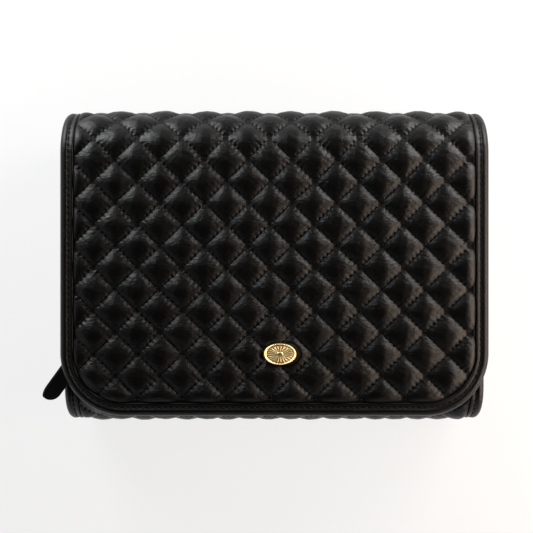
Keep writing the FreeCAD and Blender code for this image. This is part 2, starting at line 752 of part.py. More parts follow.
def make_tray():
    """The earring pad, and the ring roll on its swinging strap."""
    pad_half = half_width - earring_pad_margin
    pad_end = ring_roll_y - ring_roll_radius - earring_pad_gap
    pad_top = back_inner_z + earring_pad_thickness
    pad = box(-pad_half, pad_half, lip_end_y + earring_pad_gap, pad_end, back_inner_z, pad_top)
    holes = []
    for row in range(2):
        for column in range(8):
            for pair in (-earring_pair / 2, earring_pair / 2):
                x = (column - 3.5) * earring_field / 8 + pair
                y = pad.BoundBox.Center.y + (row - 0.5) * pad.BoundBox.YLength / 2
                holes.append(disc(0.9, x, y, back_inner_z - 1, back_inner_z + 9))
    loop_top = pad_top + roll_pad_lift
    strap_z = loop_top + roll_pad_height + 0.1
    strap_top = strap_z + roll_strap_thickness
    half = roll_strap_width / 2
    roll_x1 = ring_roll_pivot_x - roll_end_gap
    roll_x0 = roll_x1 - ring_roll_length
    strap_end = roll_x0 - roll_end_gap
    strap = box(strap_end, ring_roll_pivot_x, ring_roll_y - half, ring_roll_y + half, strap_z, strap_top)
    strap = strap.fuse(disc(half, ring_roll_pivot_x, ring_roll_y, strap_z, strap_top))
    strap = strap.fuse(disc(half, strap_end, ring_roll_y, strap_z, strap_top))
    strap = strap.cut(disc(2.05, ring_roll_pivot_x, ring_roll_y, 0, case_depth)).removeSplitter()
    roll_z = strap_top + ring_roll_radius + 0.05
    roll_end = Vector(roll_x0, ring_roll_y, roll_z)
    roll = Part.makeCylinder(ring_roll_radius, ring_roll_length, roll_end, X_AXIS)
    roll = roll.makeFillet(ring_roll_radius * 0.6, [e for e in roll.Edges if e.Closed])
    pivot = fused([
        disc(4.5, ring_roll_pivot_x, ring_roll_y, back_inner_z, strap_z - 0.05),
        disc(1.95, ring_roll_pivot_x, ring_roll_y, strap_z - 0.05, strap_top + 0.1),
        disc(4.2, ring_roll_pivot_x, ring_roll_y, strap_top + 0.1, strap_top + 1.5),
    ])
    grip_x = strap_end + 2
    grip = (grip_x - 6, grip_x + 6, ring_roll_y - half + 1, ring_roll_y + half - 1)
    return {
        "earring_pad": pad.cut(Part.makeCompound(holes)),
        "ring_roll": roll,
        "ring_roll_strap": strap,
        "ring_roll_pivot": pivot,
        "ring_roll_loop_pad": box(*grip, back_inner_z, loop_top),
        "ring_roll_hook_pad": box(*grip, strap_z - roll_pad_height, strap_z),
    }


def main():
    """Build every node and write it to its own file."""
    os.makedirs("parts", exist_ok=True)
    nodes = {}
    makers = (make_back, make_bottom, make_lip, make_zip, make_slider, make_pull)
    for make in makers + (make_tray, make_spine, make_flap):
        nodes.update(make())
    for name, shape in nodes.items():
        shape.exportStep(f"parts/{name}.step")


main()
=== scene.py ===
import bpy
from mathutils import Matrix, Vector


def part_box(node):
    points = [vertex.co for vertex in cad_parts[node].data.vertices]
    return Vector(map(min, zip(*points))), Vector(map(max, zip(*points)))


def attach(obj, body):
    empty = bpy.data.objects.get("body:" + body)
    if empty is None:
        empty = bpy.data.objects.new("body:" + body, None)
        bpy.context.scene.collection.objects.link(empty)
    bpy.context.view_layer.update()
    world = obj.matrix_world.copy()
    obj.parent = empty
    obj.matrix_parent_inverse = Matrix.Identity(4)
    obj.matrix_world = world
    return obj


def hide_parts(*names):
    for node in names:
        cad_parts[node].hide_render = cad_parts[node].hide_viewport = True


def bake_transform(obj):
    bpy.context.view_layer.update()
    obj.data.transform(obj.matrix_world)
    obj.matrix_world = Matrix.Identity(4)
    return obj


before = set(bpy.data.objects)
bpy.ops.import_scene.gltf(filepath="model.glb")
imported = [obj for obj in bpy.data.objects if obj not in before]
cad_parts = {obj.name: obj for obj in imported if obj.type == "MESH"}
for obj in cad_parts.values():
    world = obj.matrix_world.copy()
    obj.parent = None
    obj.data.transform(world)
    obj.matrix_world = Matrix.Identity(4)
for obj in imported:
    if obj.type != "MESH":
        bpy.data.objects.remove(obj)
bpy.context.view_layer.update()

import logging
import math
from dataclasses import dataclass, field
from enum import Enum
from typing import Callable, Optional, Sequence, Union

import bmesh
import bpy
import numpy as np
from mathutils import Vector

LOG = logging.getLogger("jewellery_case")
MM = 0.001
TURN = 2.0 * math.pi
RIGHT_ANGLE = 0.5 * math.pi
SMOOTH_ANGLE = math.radians(62)
CLOSED_ANGLE = math.radians(50)

Array = np.ndarray
Values = Union[np.ndarray, float]
Piece = bpy.types.Object
Socket = bpy.types.NodeSocket
Triple = tuple[float, float, float]
Colour = Triple
Point = Triple
Place = Callable[[Values, Array, Values], Array]
Stitches = tuple[Array, Array, Array, Array]


class Side(Enum):
    """The two long edges of the quilted strip."""

    LEFT = -1.0
    RIGHT = 1.0

    @property
    def word(self) -> str:
        """The side's name as piece names have it."""
        return self.name.lower()


def around(count: int) -> Array:
    """Angles of a full turn at equal steps, without its end."""
    return np.linspace(0.0, TURN, count, endpoint=False)


def rounded_end(count: int) -> Array:
    """Distances in from a rounded end, in radii: one less the cosine of a quarter turn."""
    return 1.0 - np.cos(np.linspace(0.0, RIGHT_ANGLE, count))


def clamp(values: Array) -> Array:
    """Values held between 0 and 1."""
    return np.clip(values, 0.0, 1.0)


def quarter(distance: Array, radius: float) -> Array:
    """Quarter circle that rises from 0 at an edge to 1 at the radius."""
    return np.sqrt(1.0 - (1.0 - clamp(distance / radius)) ** 2)


def squared(wave: Array, power: float) -> Array:
    """A wave with filled shoulders: its sign times its size to a power below one."""
    return np.sign(wave) * np.abs(wave) ** power


def bell(distance: Array, width: float, power: int = 2) -> Array:
    """A bell curve: 1 at no distance, and less with the power of distance over width."""
    return np.exp(-((distance / width) ** power))


def points(x: Values, y: Values, z: Values) -> Array:
    """Points with a last axis of three, from coordinates spread over one grid."""
    return np.stack(np.broadcast_arrays(x, y, z), axis=-1)


def travelled(x: Array, y: Array) -> Array:
    """Distance gone along a path at each of its points."""
    return np.concatenate([[0.0], np.cumsum(np.hypot(np.diff(x), np.diff(y)))])


def corners(node: str) -> Array:
    """Lowest and highest corner of a CAD node, in millimetres."""
    return np.array(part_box(node)) / MM


@dataclass(frozen=True)
class Wave:
    """A sine wave: its height, radians per unit of length, pitch or angle both ways, and phase."""

    height: float
    across: float
    along: float = 0.0
    phase: float = 0.0

    def at(self, x: Values, s: Values = 0.0, bend: Values = 0.0) -> Array:
        """Height of the wave at a place, with its phase bent by another wave."""
        return self.height * np.sin(self.across * x + self.along * s + self.phase + bend)


@dataclass(frozen=True)
class Strip:
    """The one quilted strip that is flap, top fold, back, bottom fold and lip, in millimetres."""

    half_width: float = 114.8
    quilt_half: float = 107.4
    top_y: float = 60.5
    top_z: float = 26.0
    top_radius: float = 23.7
    bottom_y: float = -65.9
    bottom_z: float = 20.6
    bottom_radius: float = 18.3
    flap_end: float = -140.6
    lip_quilt: float = 18.9
    panel_depth: float = 5.1
    corner_radius: float = 34.0

    @property
    def back_start(self) -> float:
        """Station where the top fold meets the back."""
        return math.pi * self.top_radius

    @property
    def bottom_start(self) -> float:
        """Station where the back meets the bottom fold."""
        return self.back_start + self.top_y - self.bottom_y

    @property
    def lip_start(self) -> float:
        """Station where the bottom fold meets the lip."""
        return self.bottom_start + math.pi * self.bottom_radius

    def place(self, x: Values, s: Array, h: Values) -> Array:
        """Point of the strip in space.

        Straight runs shift s along Y. The folds wrap s round a circle, with the angle
        s over radius, and h moves along the outward normal.

        Args:
            x: distance across the strip.
            s: distance along the strip from the flap's top edge.
            h: height out of the stitch surface.

        Returns:
            Array of points with a last axis of three.
        """
        back = self.bottom_start - self.back_start
        top = np.clip(s, 0.0, self.back_start) / self.top_radius
        low = np.clip(s - self.bottom_start, 0.0, math.pi * self.bottom_radius) / self.bottom_radius
        before = np.minimum(s, 0.0)
        along = np.clip(s - self.back_start, 0.0, back)
        after = np.maximum(s - self.lip_start, 0.0)
        on_top = s < self.back_start + 0.5 * back
        y_top = self.top_y + before + (self.top_radius + h) * np.sin(top) - along
        z_top = self.top_z + (self.top_radius + h) * np.cos(top)
        y_low = self.bottom_y - (self.bottom_radius + h) * np.sin(low) + after + back - along
        z_low = self.bottom_z - (self.bottom_radius + h) * np.cos(low)
        return points(x, np.where(on_top, y_top, y_low), np.where(on_top, z_top, z_low))

    def half_at(self, s: Array, inset: float) -> Array:
        """Half width of the strip at a station, inset from its edge, with the flap's round corners."""
        radius = self.corner_radius - inset
        return self.half_width - inset - radius + radius * quarter(s - (self.flap_end + inset), radius)

    def edge_distance(self, x: Array, s: Array) -> Array:
        """Distance in from the binding's inner edge: the rounded rectangle's signed distance.

        Args:
            x: distance across the strip.
            s: distance along the strip.

        Returns:
            Distances in millimetres, positive inside.
        """
        inset = self.half_width - self.quilt_half
        radius = self.corner_radius - inset
        across = np.abs(x) - (self.quilt_half - radius)
        down = (self.flap_end + inset + radius) - s
        outside = np.hypot(np.maximum(across, 0.0), np.maximum(down, 0.0))
        return radius - outside - np.minimum(np.maximum(across, down), 0.0)


STRIP = Strip()


@dataclass(frozen=True)
class SeamFamily:
    """How one family of parallel seams pulls: its tension, that tension's wander, and its puckers' lean."""

    tension: Wave
    wander: Wave
    lean: Wave


@dataclass(frozen=True)
class Quilting:
    """The diamond lattice that is sewn through the leather, in millimetres."""

    pitch_x: float = 23.6
    pitch_y: float = 23.1
    shift_x: float = -2.3
    row_s: float = -15.1
    drift_across: tuple[Wave, Wave] = (Wave(0.010, 0.071, phase=0.9), Wave(0.012, -0.031, 0.093))
    drift_along: Wave = Wave(0.010, 0.057, 0.043)
    crown: float = 3.2
    fold_crown: float = 2.6
    back_crown: float = 2.3
    lip_crown: float = 2.3
    crown_blend: float = 0.5
    fold_full: float = 0.8
    fullness: float = 0.55
    valley: float = 1e-6
    filling: tuple[Wave, Wave] = (Wave(0.07, 0.21, 0.13), Wave(1.0, -0.08, 0.17, 1.1))
    creases: tuple[Wave, Wave] = (Wave(0.09, 0.83, 0.41), Wave(1.0, 0.37, -0.66))
    crease_bends: tuple[Wave, Wave] = (Wave(2.0, 0.0, 0.11), Wave(1.3, 0.17))
    edge_roll: float = 6.5
    rising: SeamFamily = SeamFamily(Wave(0.38, 2.3), Wave(1.7, 3.1), Wave(0.5, 9.0))
    falling: SeamFamily = SeamFamily(Wave(0.38, 2.6), Wave(-1.9, 2.7), Wave(-0.5, 9.0))
    tension: float = 0.62
    stitches_per_edge: int = 6
    stitch_margin: float = 1.2
    pucker: float = 0.12
    pucker_fade: float = 2.2
    tuft: float = 0.44
    tuft_width: float = 0.17
    tuft_power: float = 1.5
    tuft_evenness: float = 0.6
    badge_place: tuple[float, float] = (2.9, -107.0)
    badge_size: tuple[float, float] = (8.8, 5.8)
    badge_seat: float = 1.2
    badge_press: tuple[float, float] = (1.05, 1.3)

    def drift(self, x: Array, s: Array) -> tuple[Array, Array]:
        """Slow waves by which the hand-fed seams leave the exact lattice, in pitches."""
        return sum(wave.at(x, s) for wave in self.drift_across), self.drift_along.at(x, s)

    def lattice(self, x: Array, s: Array) -> tuple[Array, Array]:
        """Lattice numbers of a point; both families of stitch lines lie on whole numbers.

        Args:
            x: distance across the strip.
            s: distance along the strip.

        Returns:
            One number for each family.
        """
        across, along = self.drift(x, s)
        u = (x - self.shift_x) / self.pitch_x + across
        v = (s - self.row_s) / self.pitch_y + along
        return u + v, u - v

    def crown_at(self, s: Array) -> Array:
        """Height of a full pillow: less on the folds, on the back and on the lip, under the pull tab.

        Args:
            s: distance along the strip.

        Returns:
            Heights in millimetres.
        """
        fold = self.crown_blend * STRIP.bottom_radius
        levels = (
            (-fold, self.crown),
            (fold, self.fold_crown),
            (self.fold_full * STRIP.back_start, self.fold_crown),
            (STRIP.back_start, self.back_crown),
            (STRIP.bottom_start, self.back_crown),
            (STRIP.bottom_start + fold, self.fold_crown),
            (STRIP.lip_start - fold, self.fold_crown),
            (STRIP.lip_start, self.lip_crown),
        )
        return np.interp(s, *zip(*levels))

    def seam(self, family: SeamFamily, gap: Array, far_gap: Array, across: Array, along: Array) -> Array:
        """Relief beside one family of seams.

        Short waves along the seam, one per stitch, pucker the leather and fade with the
        distance from it. Narrow tufts bridge the seam between two stitches and die out
        where seams cross.

        Args:
            family: how these seams pull.
            gap: distance from the nearest seam of the family, as a rectified sine.
            far_gap: the same for the other family.
            across: lattice number that counts these seams.
            along: lattice number that runs along them.

        Returns:
            Heights in millimetres.
        """
        pull = self.tension + family.tension.at(along, bend=family.wander.at(across))
        phase = TURN * self.stitches_per_edge * along
        pucker = np.exp(-self.pucker_fade * gap) * pull * np.cos(phase + family.lean.at(gap))
        tuft = bell(gap, self.tuft_width) * (0.5 + 0.5 * np.cos(phase)) ** self.tuft_power
        evenness = self.tuft_evenness + (1.0 - self.tuft_evenness) * pull
        return self.pucker * pucker + self.tuft * evenness * tuft * np.sqrt(far_gap)

    def relief(self, x: Array, s: Array) -> Array:
        """Height of the padded leather over the stitch lines.

        Two crossed half sine waves, to a power below one, give a full pillow with a tight
        valley. The pillow sinks to the binding along a quarter circle. Slow waves vary the
        filling and crease the leather, the seams add their relief, and the badge presses
        an oval seat.

        Args:
            x: distance across the strip.
            s: distance along the strip.

        Returns:
            Heights in millimetres.
        """
        a, b = self.lattice(x, s)
        gap_a = np.abs(np.sin(math.pi * a))
        gap_b = np.abs(np.sin(math.pi * b))
        pillow = np.power(gap_a * gap_b + self.valley, self.fullness)
        fill = 1.0 + self.filling[0].at(x, s) * self.filling[1].at(x, s)
        crease = 1.0
        for wave, bend in zip(self.creases, self.crease_bends):
            crease = crease * wave.at(x, s, bend.at(x, s))
        seams = self.seam(self.rising, gap_a, gap_b, a, b) + self.seam(self.falling, gap_b, gap_a, b, a)
        height = self.crown_at(s) * fill * pillow + seams + crease * pillow
        height = height * quarter(STRIP.edge_distance(x, s), self.edge_roll)
        across, along = ((v - m) / r for v, m, r in zip((x, s), self.badge_place, self.badge_size))
        full, none = self.badge_press
        press = clamp((none - np.hypot(across, along)) / (none - full))
        return height - press * np.maximum(height - self.badge_seat, 0.0)

    def stitch_centres(self, s0: float, s1: float) -> Stitches:
        """Middles and directions of the stitches between two stations.

        Whole numbers of one lattice direction give the seam, and equal steps of the
        other give the stitches on it.

        Args:
            s0: first station.
            s1: last station.

        Returns:
            Arrays x, s and the unit direction across and along.
        """
        spare = 3
        reach = int(STRIP.half_width / self.pitch_x + max(abs(s0), abs(s1)) / self.pitch_y) + spare
        lines = np.arange(-reach, reach + 1, dtype=float)
        count = reach * self.stitches_per_edge
        steps = (np.arange(-count, count) + 0.5) / self.stitches_per_edge
        line, step = [m.ravel() for m in np.meshgrid(lines, steps, indexing="ij")]
        a = np.concatenate([line, step])
        b = np.concatenate([step, line])
        lean = np.repeat([-1.0, 1.0], line.size)
        x = self.shift_x + 0.5 * (a + b) * self.pitch_x
        s = self.row_s + 0.5 * (a - b) * self.pitch_y
        across, along = self.drift(x, s)
        x = x - across * self.pitch_x
        s = s - along * self.pitch_y
        keep = (s > s0) & (s < s1) & (STRIP.edge_distance(x, s) > self.stitch_margin)
        length = math.hypot(self.pitch_x, self.pitch_y)
        across = np.full(x.shape, self.pitch_x / length)
        along = lean * self.pitch_y / length
        return x[keep], s[keep], across[keep], along[keep]


QUILT = Quilting()


def add_mesh(name: str, verts: Array, quads: Array, rings: Sequence[Array] = ()) -> Piece:
    """Put arrays into a new mesh object.

    Args:
        name: the piece's name.
        verts: points in millimetres, last axis of three.
        quads: four point numbers for each face.
        rings: faces with any number of corners.

    Returns:
        The new object, linked to the scene.
    """
    loops = np.concatenate([quads.ravel(), *rings])
    sizes = np.concatenate([np.full(len(quads), 4), [len(ring) for ring in rings]]).astype(int)
    starts = np.concatenate([[0], np.cumsum(sizes)[:-1]])
    mesh = bpy.data.meshes.new(name)
    flat = verts.reshape(-1, 3) * MM
    mesh.vertices.add(len(flat))
    mesh.vertices.foreach_set("co", flat.ravel())
    mesh.loops.add(len(loops))
    mesh.loops.foreach_set("vertex_index", loops.astype(np.int32))
    mesh.polygons.add(len(sizes))
    mesh.polygons.foreach_set("loop_start", starts.astype(np.int32))
    mesh.update(calc_edges=True)
    mesh.validate()
    mesh.polygons.foreach_set("use_smooth", np.ones(len(mesh.polygons), bool))
    mesh.set_sharp_from_angle(angle=SMOOTH_ANGLE)
    piece = bpy.data.objects.new(name, mesh)
    bpy.context.scene.collection.objects.link(piece)
    return piece


def outward(piece: Piece) -> Piece:
    """Turn the faces of a closed piece outwards.

    Args:
        piece: the piece to turn.

    Returns:
        The same piece.
    """
    work = bmesh.new()
    work.from_mesh(piece.data)
    bmesh.ops.recalc_face_normals(work, faces=work.faces)
    work.to_mesh(piece.data)
    work.free()
    piece.data.set_sharp_from_angle(angle=CLOSED_ANGLE)
    return piece


def grid_quads(rows: int, columns: int, wrap: bool = False) -> Array:
    """Faces of a grid of points, row by row.

    Args:
        rows: rows of points.
        columns: points in a row.
        wrap: whether the last column joins the first.

    Returns:
        Four point numbers for each face.
    """
    last = columns if wrap else columns - 1
    i, j = np.meshgrid(np.arange(rows - 1) * columns, np.arange(last), indexing="ij")
    k = (j + 1) % columns
    return np.stack([i + j, i + k, i + columns + k, i + columns + j], axis=-1).reshape(-1, 4)


def rim_loop(rows: int, columns: int) -> Array:
    """Numbers of a grid's outer points, once round."""
    number = np.arange(rows * columns).reshape(rows, columns)
    return np.concatenate([number[0, :-1], number[:-1, -1], number[-1, :0:-1], number[:0:-1, 0]])


def slab(name: str, outer: Array, inner: Array) -> Piece:
    """A closed sheet between two grids of the same size.

    Args:
        name: the piece's name.
        outer: grid of points with its faces outwards.
        inner: grid of points behind it.

    Returns:
        The new object.
    """
    rows, columns = outer.shape[:2]
    count = rows * columns
    face = grid_quads(rows, columns)
    loop = rim_loop(rows, columns)
    after = np.roll(loop, -1)
    wall = np.stack([loop, loop + count, after + count, after], axis=-1)
    return add_mesh(name, np.stack([outer, inner]), np.concatenate([face, face[:, ::-1] + count, wall]))


def backed(name: str, outer: Array, inner: Array) -> Piece:
    """A closed sheet with one flat face behind it.

    Args:
        name: the piece's name.
        outer: grid of points with its faces outwards.
        inner: grid of points behind it, of which only the rim is used.

    Returns:
        The new object.
    """
    rows, columns = outer.shape[:2]
    count = rows * columns
    loop = rim_loop(rows, columns)
    behind = count + np.arange(len(loop))
    wall = np.stack([loop, behind, np.roll(behind, -1), np.roll(loop, -1)], axis=-1)
    verts = np.concatenate([outer.reshape(-1, 3), inner.reshape(-1, 3)[loop]])
    return add_mesh(name, verts, np.concatenate([grid_quads(rows, columns), wall]), [behind[::-1]])


def tube(name: str, rings: Array) -> Piece:
    """A closed section carried along a path, capped at both ends.

    Args:
        name: the piece's name.
        rings: grid of points, with a closed section in each row.

    Returns:
        The new object.
    """
    rows, columns = rings.shape[:2]
    first = np.arange(columns)
    caps = [first[::-1], first + (rows - 1) * columns]
    return outward(add_mesh(name, rings, grid_quads(rows, columns, wrap=True), caps))


@dataclass(frozen=True)
class Thread:
    """A sewing thread: the length and radius of a stitch that shows, and its points."""

    length: float
    radius: float
    narrow: float = 0.45
    arch: float = 1.2
    sunk: float = 0.5
    rings: int = 5
    sides: int = 6

    def sew(self, name: str, place: Place, centres: Stitches, level: float) -> Piece:
        """Rows of stitches, each a short thread that dips into the leather at its ends.

        A stitch is a ring of points carried along its own line; its middle stands proud
        by a half sine and its ends are narrow.

        Args:
            name: the piece's name.
            place: maps across, along and height to a point.
            centres: stitch middles and directions.
            level: height of the leather under the stitches.

        Returns:
            The new object.
        """
        x, s, across, along = (c[:, None, None] for c in centres)
        run = np.linspace(-0.5, 0.5, self.rings)[:, None]
        turn = around(self.sides)
        bow = np.cos(math.pi * run)
        girth = self.radius * (self.narrow + (1.0 - self.narrow) * bow)
        side = girth * np.cos(turn)
        height = level + girth * np.sin(turn) + self.radius * (self.arch * bow - self.sunk)
        ahead = self.length * run
        verts = place(x + across * ahead - along * side, s + along * ahead + across * side, height)
        size = self.rings * self.sides
        starts = np.arange(len(verts)) * size
        quads = grid_quads(self.rings, self.sides, wrap=True) + starts[:, None, None]
        cap = np.arange(self.sides)
        caps = [cap[::-1] + n for n in starts] + [cap + size - self.sides + n for n in starts]
        return add_mesh(name, verts, quads.reshape(-1, 4), caps)


def stitch_row(path_x: Array, path_y: Array, pitch: float, first: float) -> Stitches:
    """Stitch middles at equal steps along a path of points, with the path's direction there.

    Args:
        path_x: the path's first coordinate.
        path_y: its second coordinate.
        pitch: distance from stitch to stitch.
        first: distance of the first stitch from the path's start.

    Returns:
        Middles and unit directions.
    """
    look = 0.3
    gone = travelled(path_x, path_y)
    at = np.arange(first, gone[-1], pitch)
    ahead, aside = (np.interp(at + look, gone, p) - np.interp(at - look, gone, p) for p in (path_x, path_y))
    size = np.hypot(ahead, aside)
    return np.interp(at, gone, path_x), np.interp(at, gone, path_y), ahead / size, aside / size


@dataclass(frozen=True)
class Noise:
    """A noise pattern: turns per metre, detail, roughness, and how far each axis is squeezed."""

    scale: float
    detail: float = 4.0
    rough: float = 0.55
    squeeze: Optional[Triple] = None


class NodeTree:
    """Small helper that adds and links shader nodes."""

    def __init__(self, name: str) -> None:
        """Start an empty material with a principled shader.

        Args:
            name: the material's name.
        """
        self.material = bpy.data.materials.new(name)
        self.material.use_nodes = True
        self.tree = self.material.node_tree
        self.shader = self.tree.nodes["Principled BSDF"]

    def add(self, kind: str, **values: object) -> bpy.types.Node:
        """Add a node and set it up.

        Args:
            kind: the node's type.
            values: its properties, or input sockets by a name that starts with in_.

        Returns:
            The new node.
        """
        node = self.tree.nodes.new(kind)
        for key, value in values.items():
            if key.startswith("in_"):
                node.inputs[key.removeprefix("in_").replace("_", " ")].default_value = value
            else:
                setattr(node, key, value)
        return node

    def link(self, source: Socket, target: Socket) -> None:
        """Join two sockets."""
        self.tree.links.new(source, target)

    def set(self, **values: object) -> None:
        """Set the shader's own sockets."""
        for key, value in values.items():
            self.shader.inputs[key.replace("_", " ")].default_value = value

    def patterned(self, node: bpy.types.Node, squeeze: Optional[Triple] = None) -> bpy.types.Node:
        """Lay a pattern on Object coordinates, in metres.

        Args:
            node: the pattern.
            squeeze: how far each axis is squeezed, if at all.

        Returns:
            The same node.
        """
        coords = self.add("ShaderNodeTexCoord").outputs["Object"]
        if squeeze is not None:
            mapping = self.add("ShaderNodeMapping", in_Scale=squeeze)
            self.link(coords, mapping.inputs["Vector"])
            coords = mapping.outputs["Vector"]
        self.link(coords, node.inputs["Vector"])
        return node

    def noise(self, noise: Noise) -> Socket:
        """A noise pattern's value."""
        settings = {"in_Scale": noise.scale, "in_Detail": noise.detail, "in_Roughness": noise.rough}
        return self.patterned(self.add("ShaderNodeTexNoise", **settings), noise.squeeze).outputs["Fac"]

    def cells(self, scale: float) -> Socket:
        """Distance to the edge in a pattern of cells."""
        node = self.add("ShaderNodeTexVoronoi", feature="DISTANCE_TO_EDGE", in_Scale=scale)
        return self.patterned(node).outputs["Distance"]

    def maths(self, operation: str, first: Socket, second: Union[Socket, float]) -> Socket:
        """Work out one value from two.

        Args:
            operation: what is done with them.
            first: a socket.
            second: a socket or a number.

        Returns:
            The result's socket.
        """
        node = self.add("ShaderNodeMath", operation=operation)
        self.link(first, node.inputs[0])
        if isinstance(second, float):
            node.inputs[1].default_value = second
        else:
            self.link(second, node.inputs[1])
        return node.outputs["Value"]

    def colour(self, value: Socket, levels: tuple[float, float], dark: Colour, light: Colour) -> None:
        """Colour the shader by a value.

        Args:
            value: what the colour follows.
            levels: where dark ends and where light starts.
            dark: the first colour.
            light: the second colour.
        """
        node = self.add("ShaderNodeValToRGB")
        for stop, level, colour in zip(node.color_ramp.elements, levels, (dark, light)):
            stop.position = level
            stop.color = (*colour, 1.0)
        self.link(value, node.inputs["Fac"])
        self.link(node.outputs["Color"], self.shader.inputs["Base Color"])

    def gloss(self, value: Socket, low: float, high: float) -> None:
        """Spread the shader's roughness between two numbers.

        Args:
            value: what the roughness follows, from 0 to 1.
            low: roughness at 0.
            high: roughness at 1.
        """
        node = self.add("ShaderNodeMapRange", in_To_Min=low, in_To_Max=high)
        self.link(value, node.inputs["Value"])
        self.link(node.outputs["Result"], self.shader.inputs["Roughness"])

    def bumps(self, *layers: tuple[Socket, float, float]) -> None:
        """Stack bump layers, the lowest first.

        Args:
            layers: each a height, a distance in metres and a strength.
        """
        normal = None
        for height, distance, strength in layers:
            node = self.add("ShaderNodeBump", in_Distance=distance, in_Strength=strength)
            self.link(height, node.inputs["Height"])
            if normal is not None:
                self.link(normal, node.inputs["Normal"])
            normal = node.outputs["Normal"]
        self.link(normal, self.shader.inputs["Normal"])


@dataclass(frozen=True)
class LeatherFinish:
    """Grained leather: colours, range of gloss, and its grain's size in metres and strength."""

    name: str
    dark: Colour
    light: Colour
    gloss: tuple[float, float]
    grain: float = 0.0011
    strength: float = 0.35
    specular: float = 0.22
    wear: Noise = Noise(38.0, 5.0)
    wear_levels: tuple[float, float] = (0.32, 0.7)
    patches: Noise = Noise(150.0, 3.0)
    creases: Noise = Noise(330.0, 6.0, 0.62, (1.0, 2.6, 2.6))
    crease_bump: tuple[float, float] = (0.0009, 0.36)
    grain_depth: float = 0.00022
    pores_per_grain: float = 2.2
    pore_bump: tuple[float, float] = (0.00010, 0.25)

    def build(self) -> bpy.types.Material:
        """Voronoi grain with pores and soft creases; the colour and gloss drift slowly.

        Returns:
            The new material.
        """
        tree = NodeTree(self.name)
        tree.colour(tree.noise(self.wear), self.wear_levels, self.dark, self.light)
        tree.gloss(tree.noise(self.patches), *self.gloss)
        pores = Noise(self.pores_per_grain / self.grain, 2.0)
        tree.bumps(
            (tree.noise(self.creases), *self.crease_bump),
            (tree.cells(1.0 / self.grain), self.grain_depth, self.strength),
            (tree.noise(pores), *self.pore_bump),
        )
        tree.set(Specular_IOR_Level=self.specular)
        return tree.material


@dataclass(frozen=True)
class SuedeFinish:
    """Short napped lining cloth."""

    name: str
    dark: Colour
    light: Colour
    brushed: Noise = Noise(55.0, 6.0, 0.6)
    brushed_levels: tuple[float, float] = (0.3, 0.72)
    nap: Noise = Noise(2600.0, 3.0)
    nap_bump: tuple[float, float] = (0.00018, 0.5)
    waves: Noise = Noise(240.0)
    wave_bump: tuple[float, float] = (0.0004, 0.2)

    def build(self) -> bpy.types.Material:
        """Brushed patches in the colour, a fine nap in the bump and a soft sheen.

        Returns:
            The new material.
        """
        tree = NodeTree(self.name)
        tree.colour(tree.noise(self.brushed), self.brushed_levels, self.dark, self.light)
        tree.bumps((tree.noise(self.nap), *self.nap_bump), (tree.noise(self.waves), *self.wave_bump))
        tree.set(Roughness=0.92, Sheen_Weight=0.35, Sheen_Roughness=0.5, Specular_IOR_Level=0.2)
        return tree.material


@dataclass(frozen=True)
class MetalFinish:
    """Polished or plated metal."""

    name: str
    colour: Colour
    shade: Colour
    gloss: tuple[float, float]
    marks: Noise = Noise(700.0)
    mark_levels: tuple[float, float] = (0.3, 0.6)
    handling: Noise = Noise(1500.0, 3.0)
    scratches: Noise = Noise(4200.0, 2.0)
    scratch_bump: tuple[float, float] = (0.00003, 0.15)

    def build(self) -> bpy.types.Material:
        """Marks shade the colour, handling varies the gloss, and fine scratches the bump.

        Returns:
            The new material.
        """
        tree = NodeTree(self.name)
        tree.colour(tree.noise(self.marks), self.mark_levels, self.shade, self.colour)
        tree.gloss(tree.noise(self.handling), *self.gloss)
        tree.bumps((tree.noise(self.scratches), *self.scratch_bump))
        tree.set(Metallic=1.0)
        return tree.material


@dataclass(frozen=True)
class WovenFinish:
    """Woven band, tape or thread, with the size of its rib in metres."""

    name: str
    dark: Colour
    light: Colour
    rib: float
    gloss: float = 0.3
    wave_scale: float = 0.31416
    levels: tuple[float, float] = (0.2, 0.9)
    weave_bump: tuple[float, float] = (0.0002, 0.6)
    fuzz: Noise = Noise(3000.0, 2.0)
    fuzz_bump: tuple[float, float] = (0.0001, 0.2)

    def build(self) -> bpy.types.Material:
        """Two crossed bands of waves make the weave in colour and bump.

        Returns:
            The new material.
        """
        tree = NodeTree(self.name)
        bands = []
        for direction in ("X", "Y"):
            wave = tree.add("ShaderNodeTexWave", bands_direction=direction, in_Distortion=0.6)
            wave.inputs["Scale"].default_value = self.wave_scale / self.rib
            bands.append(tree.patterned(wave).outputs["Fac"])
        weave = tree.maths("MAXIMUM", *bands)
        tree.colour(weave, self.levels, self.dark, self.light)
        tree.bumps((weave, *self.weave_bump), (tree.noise(self.fuzz), *self.fuzz_bump))
        tree.set(Roughness=0.85, Sheen_Weight=0.3 * self.gloss, Specular_IOR_Level=self.gloss)
        return tree.material


BLACK = (0.0013, 0.0013, 0.0013)
WORN = (0.0036, 0.0031, 0.0029)
RUBBED = (0.0042, 0.0036, 0.0034)


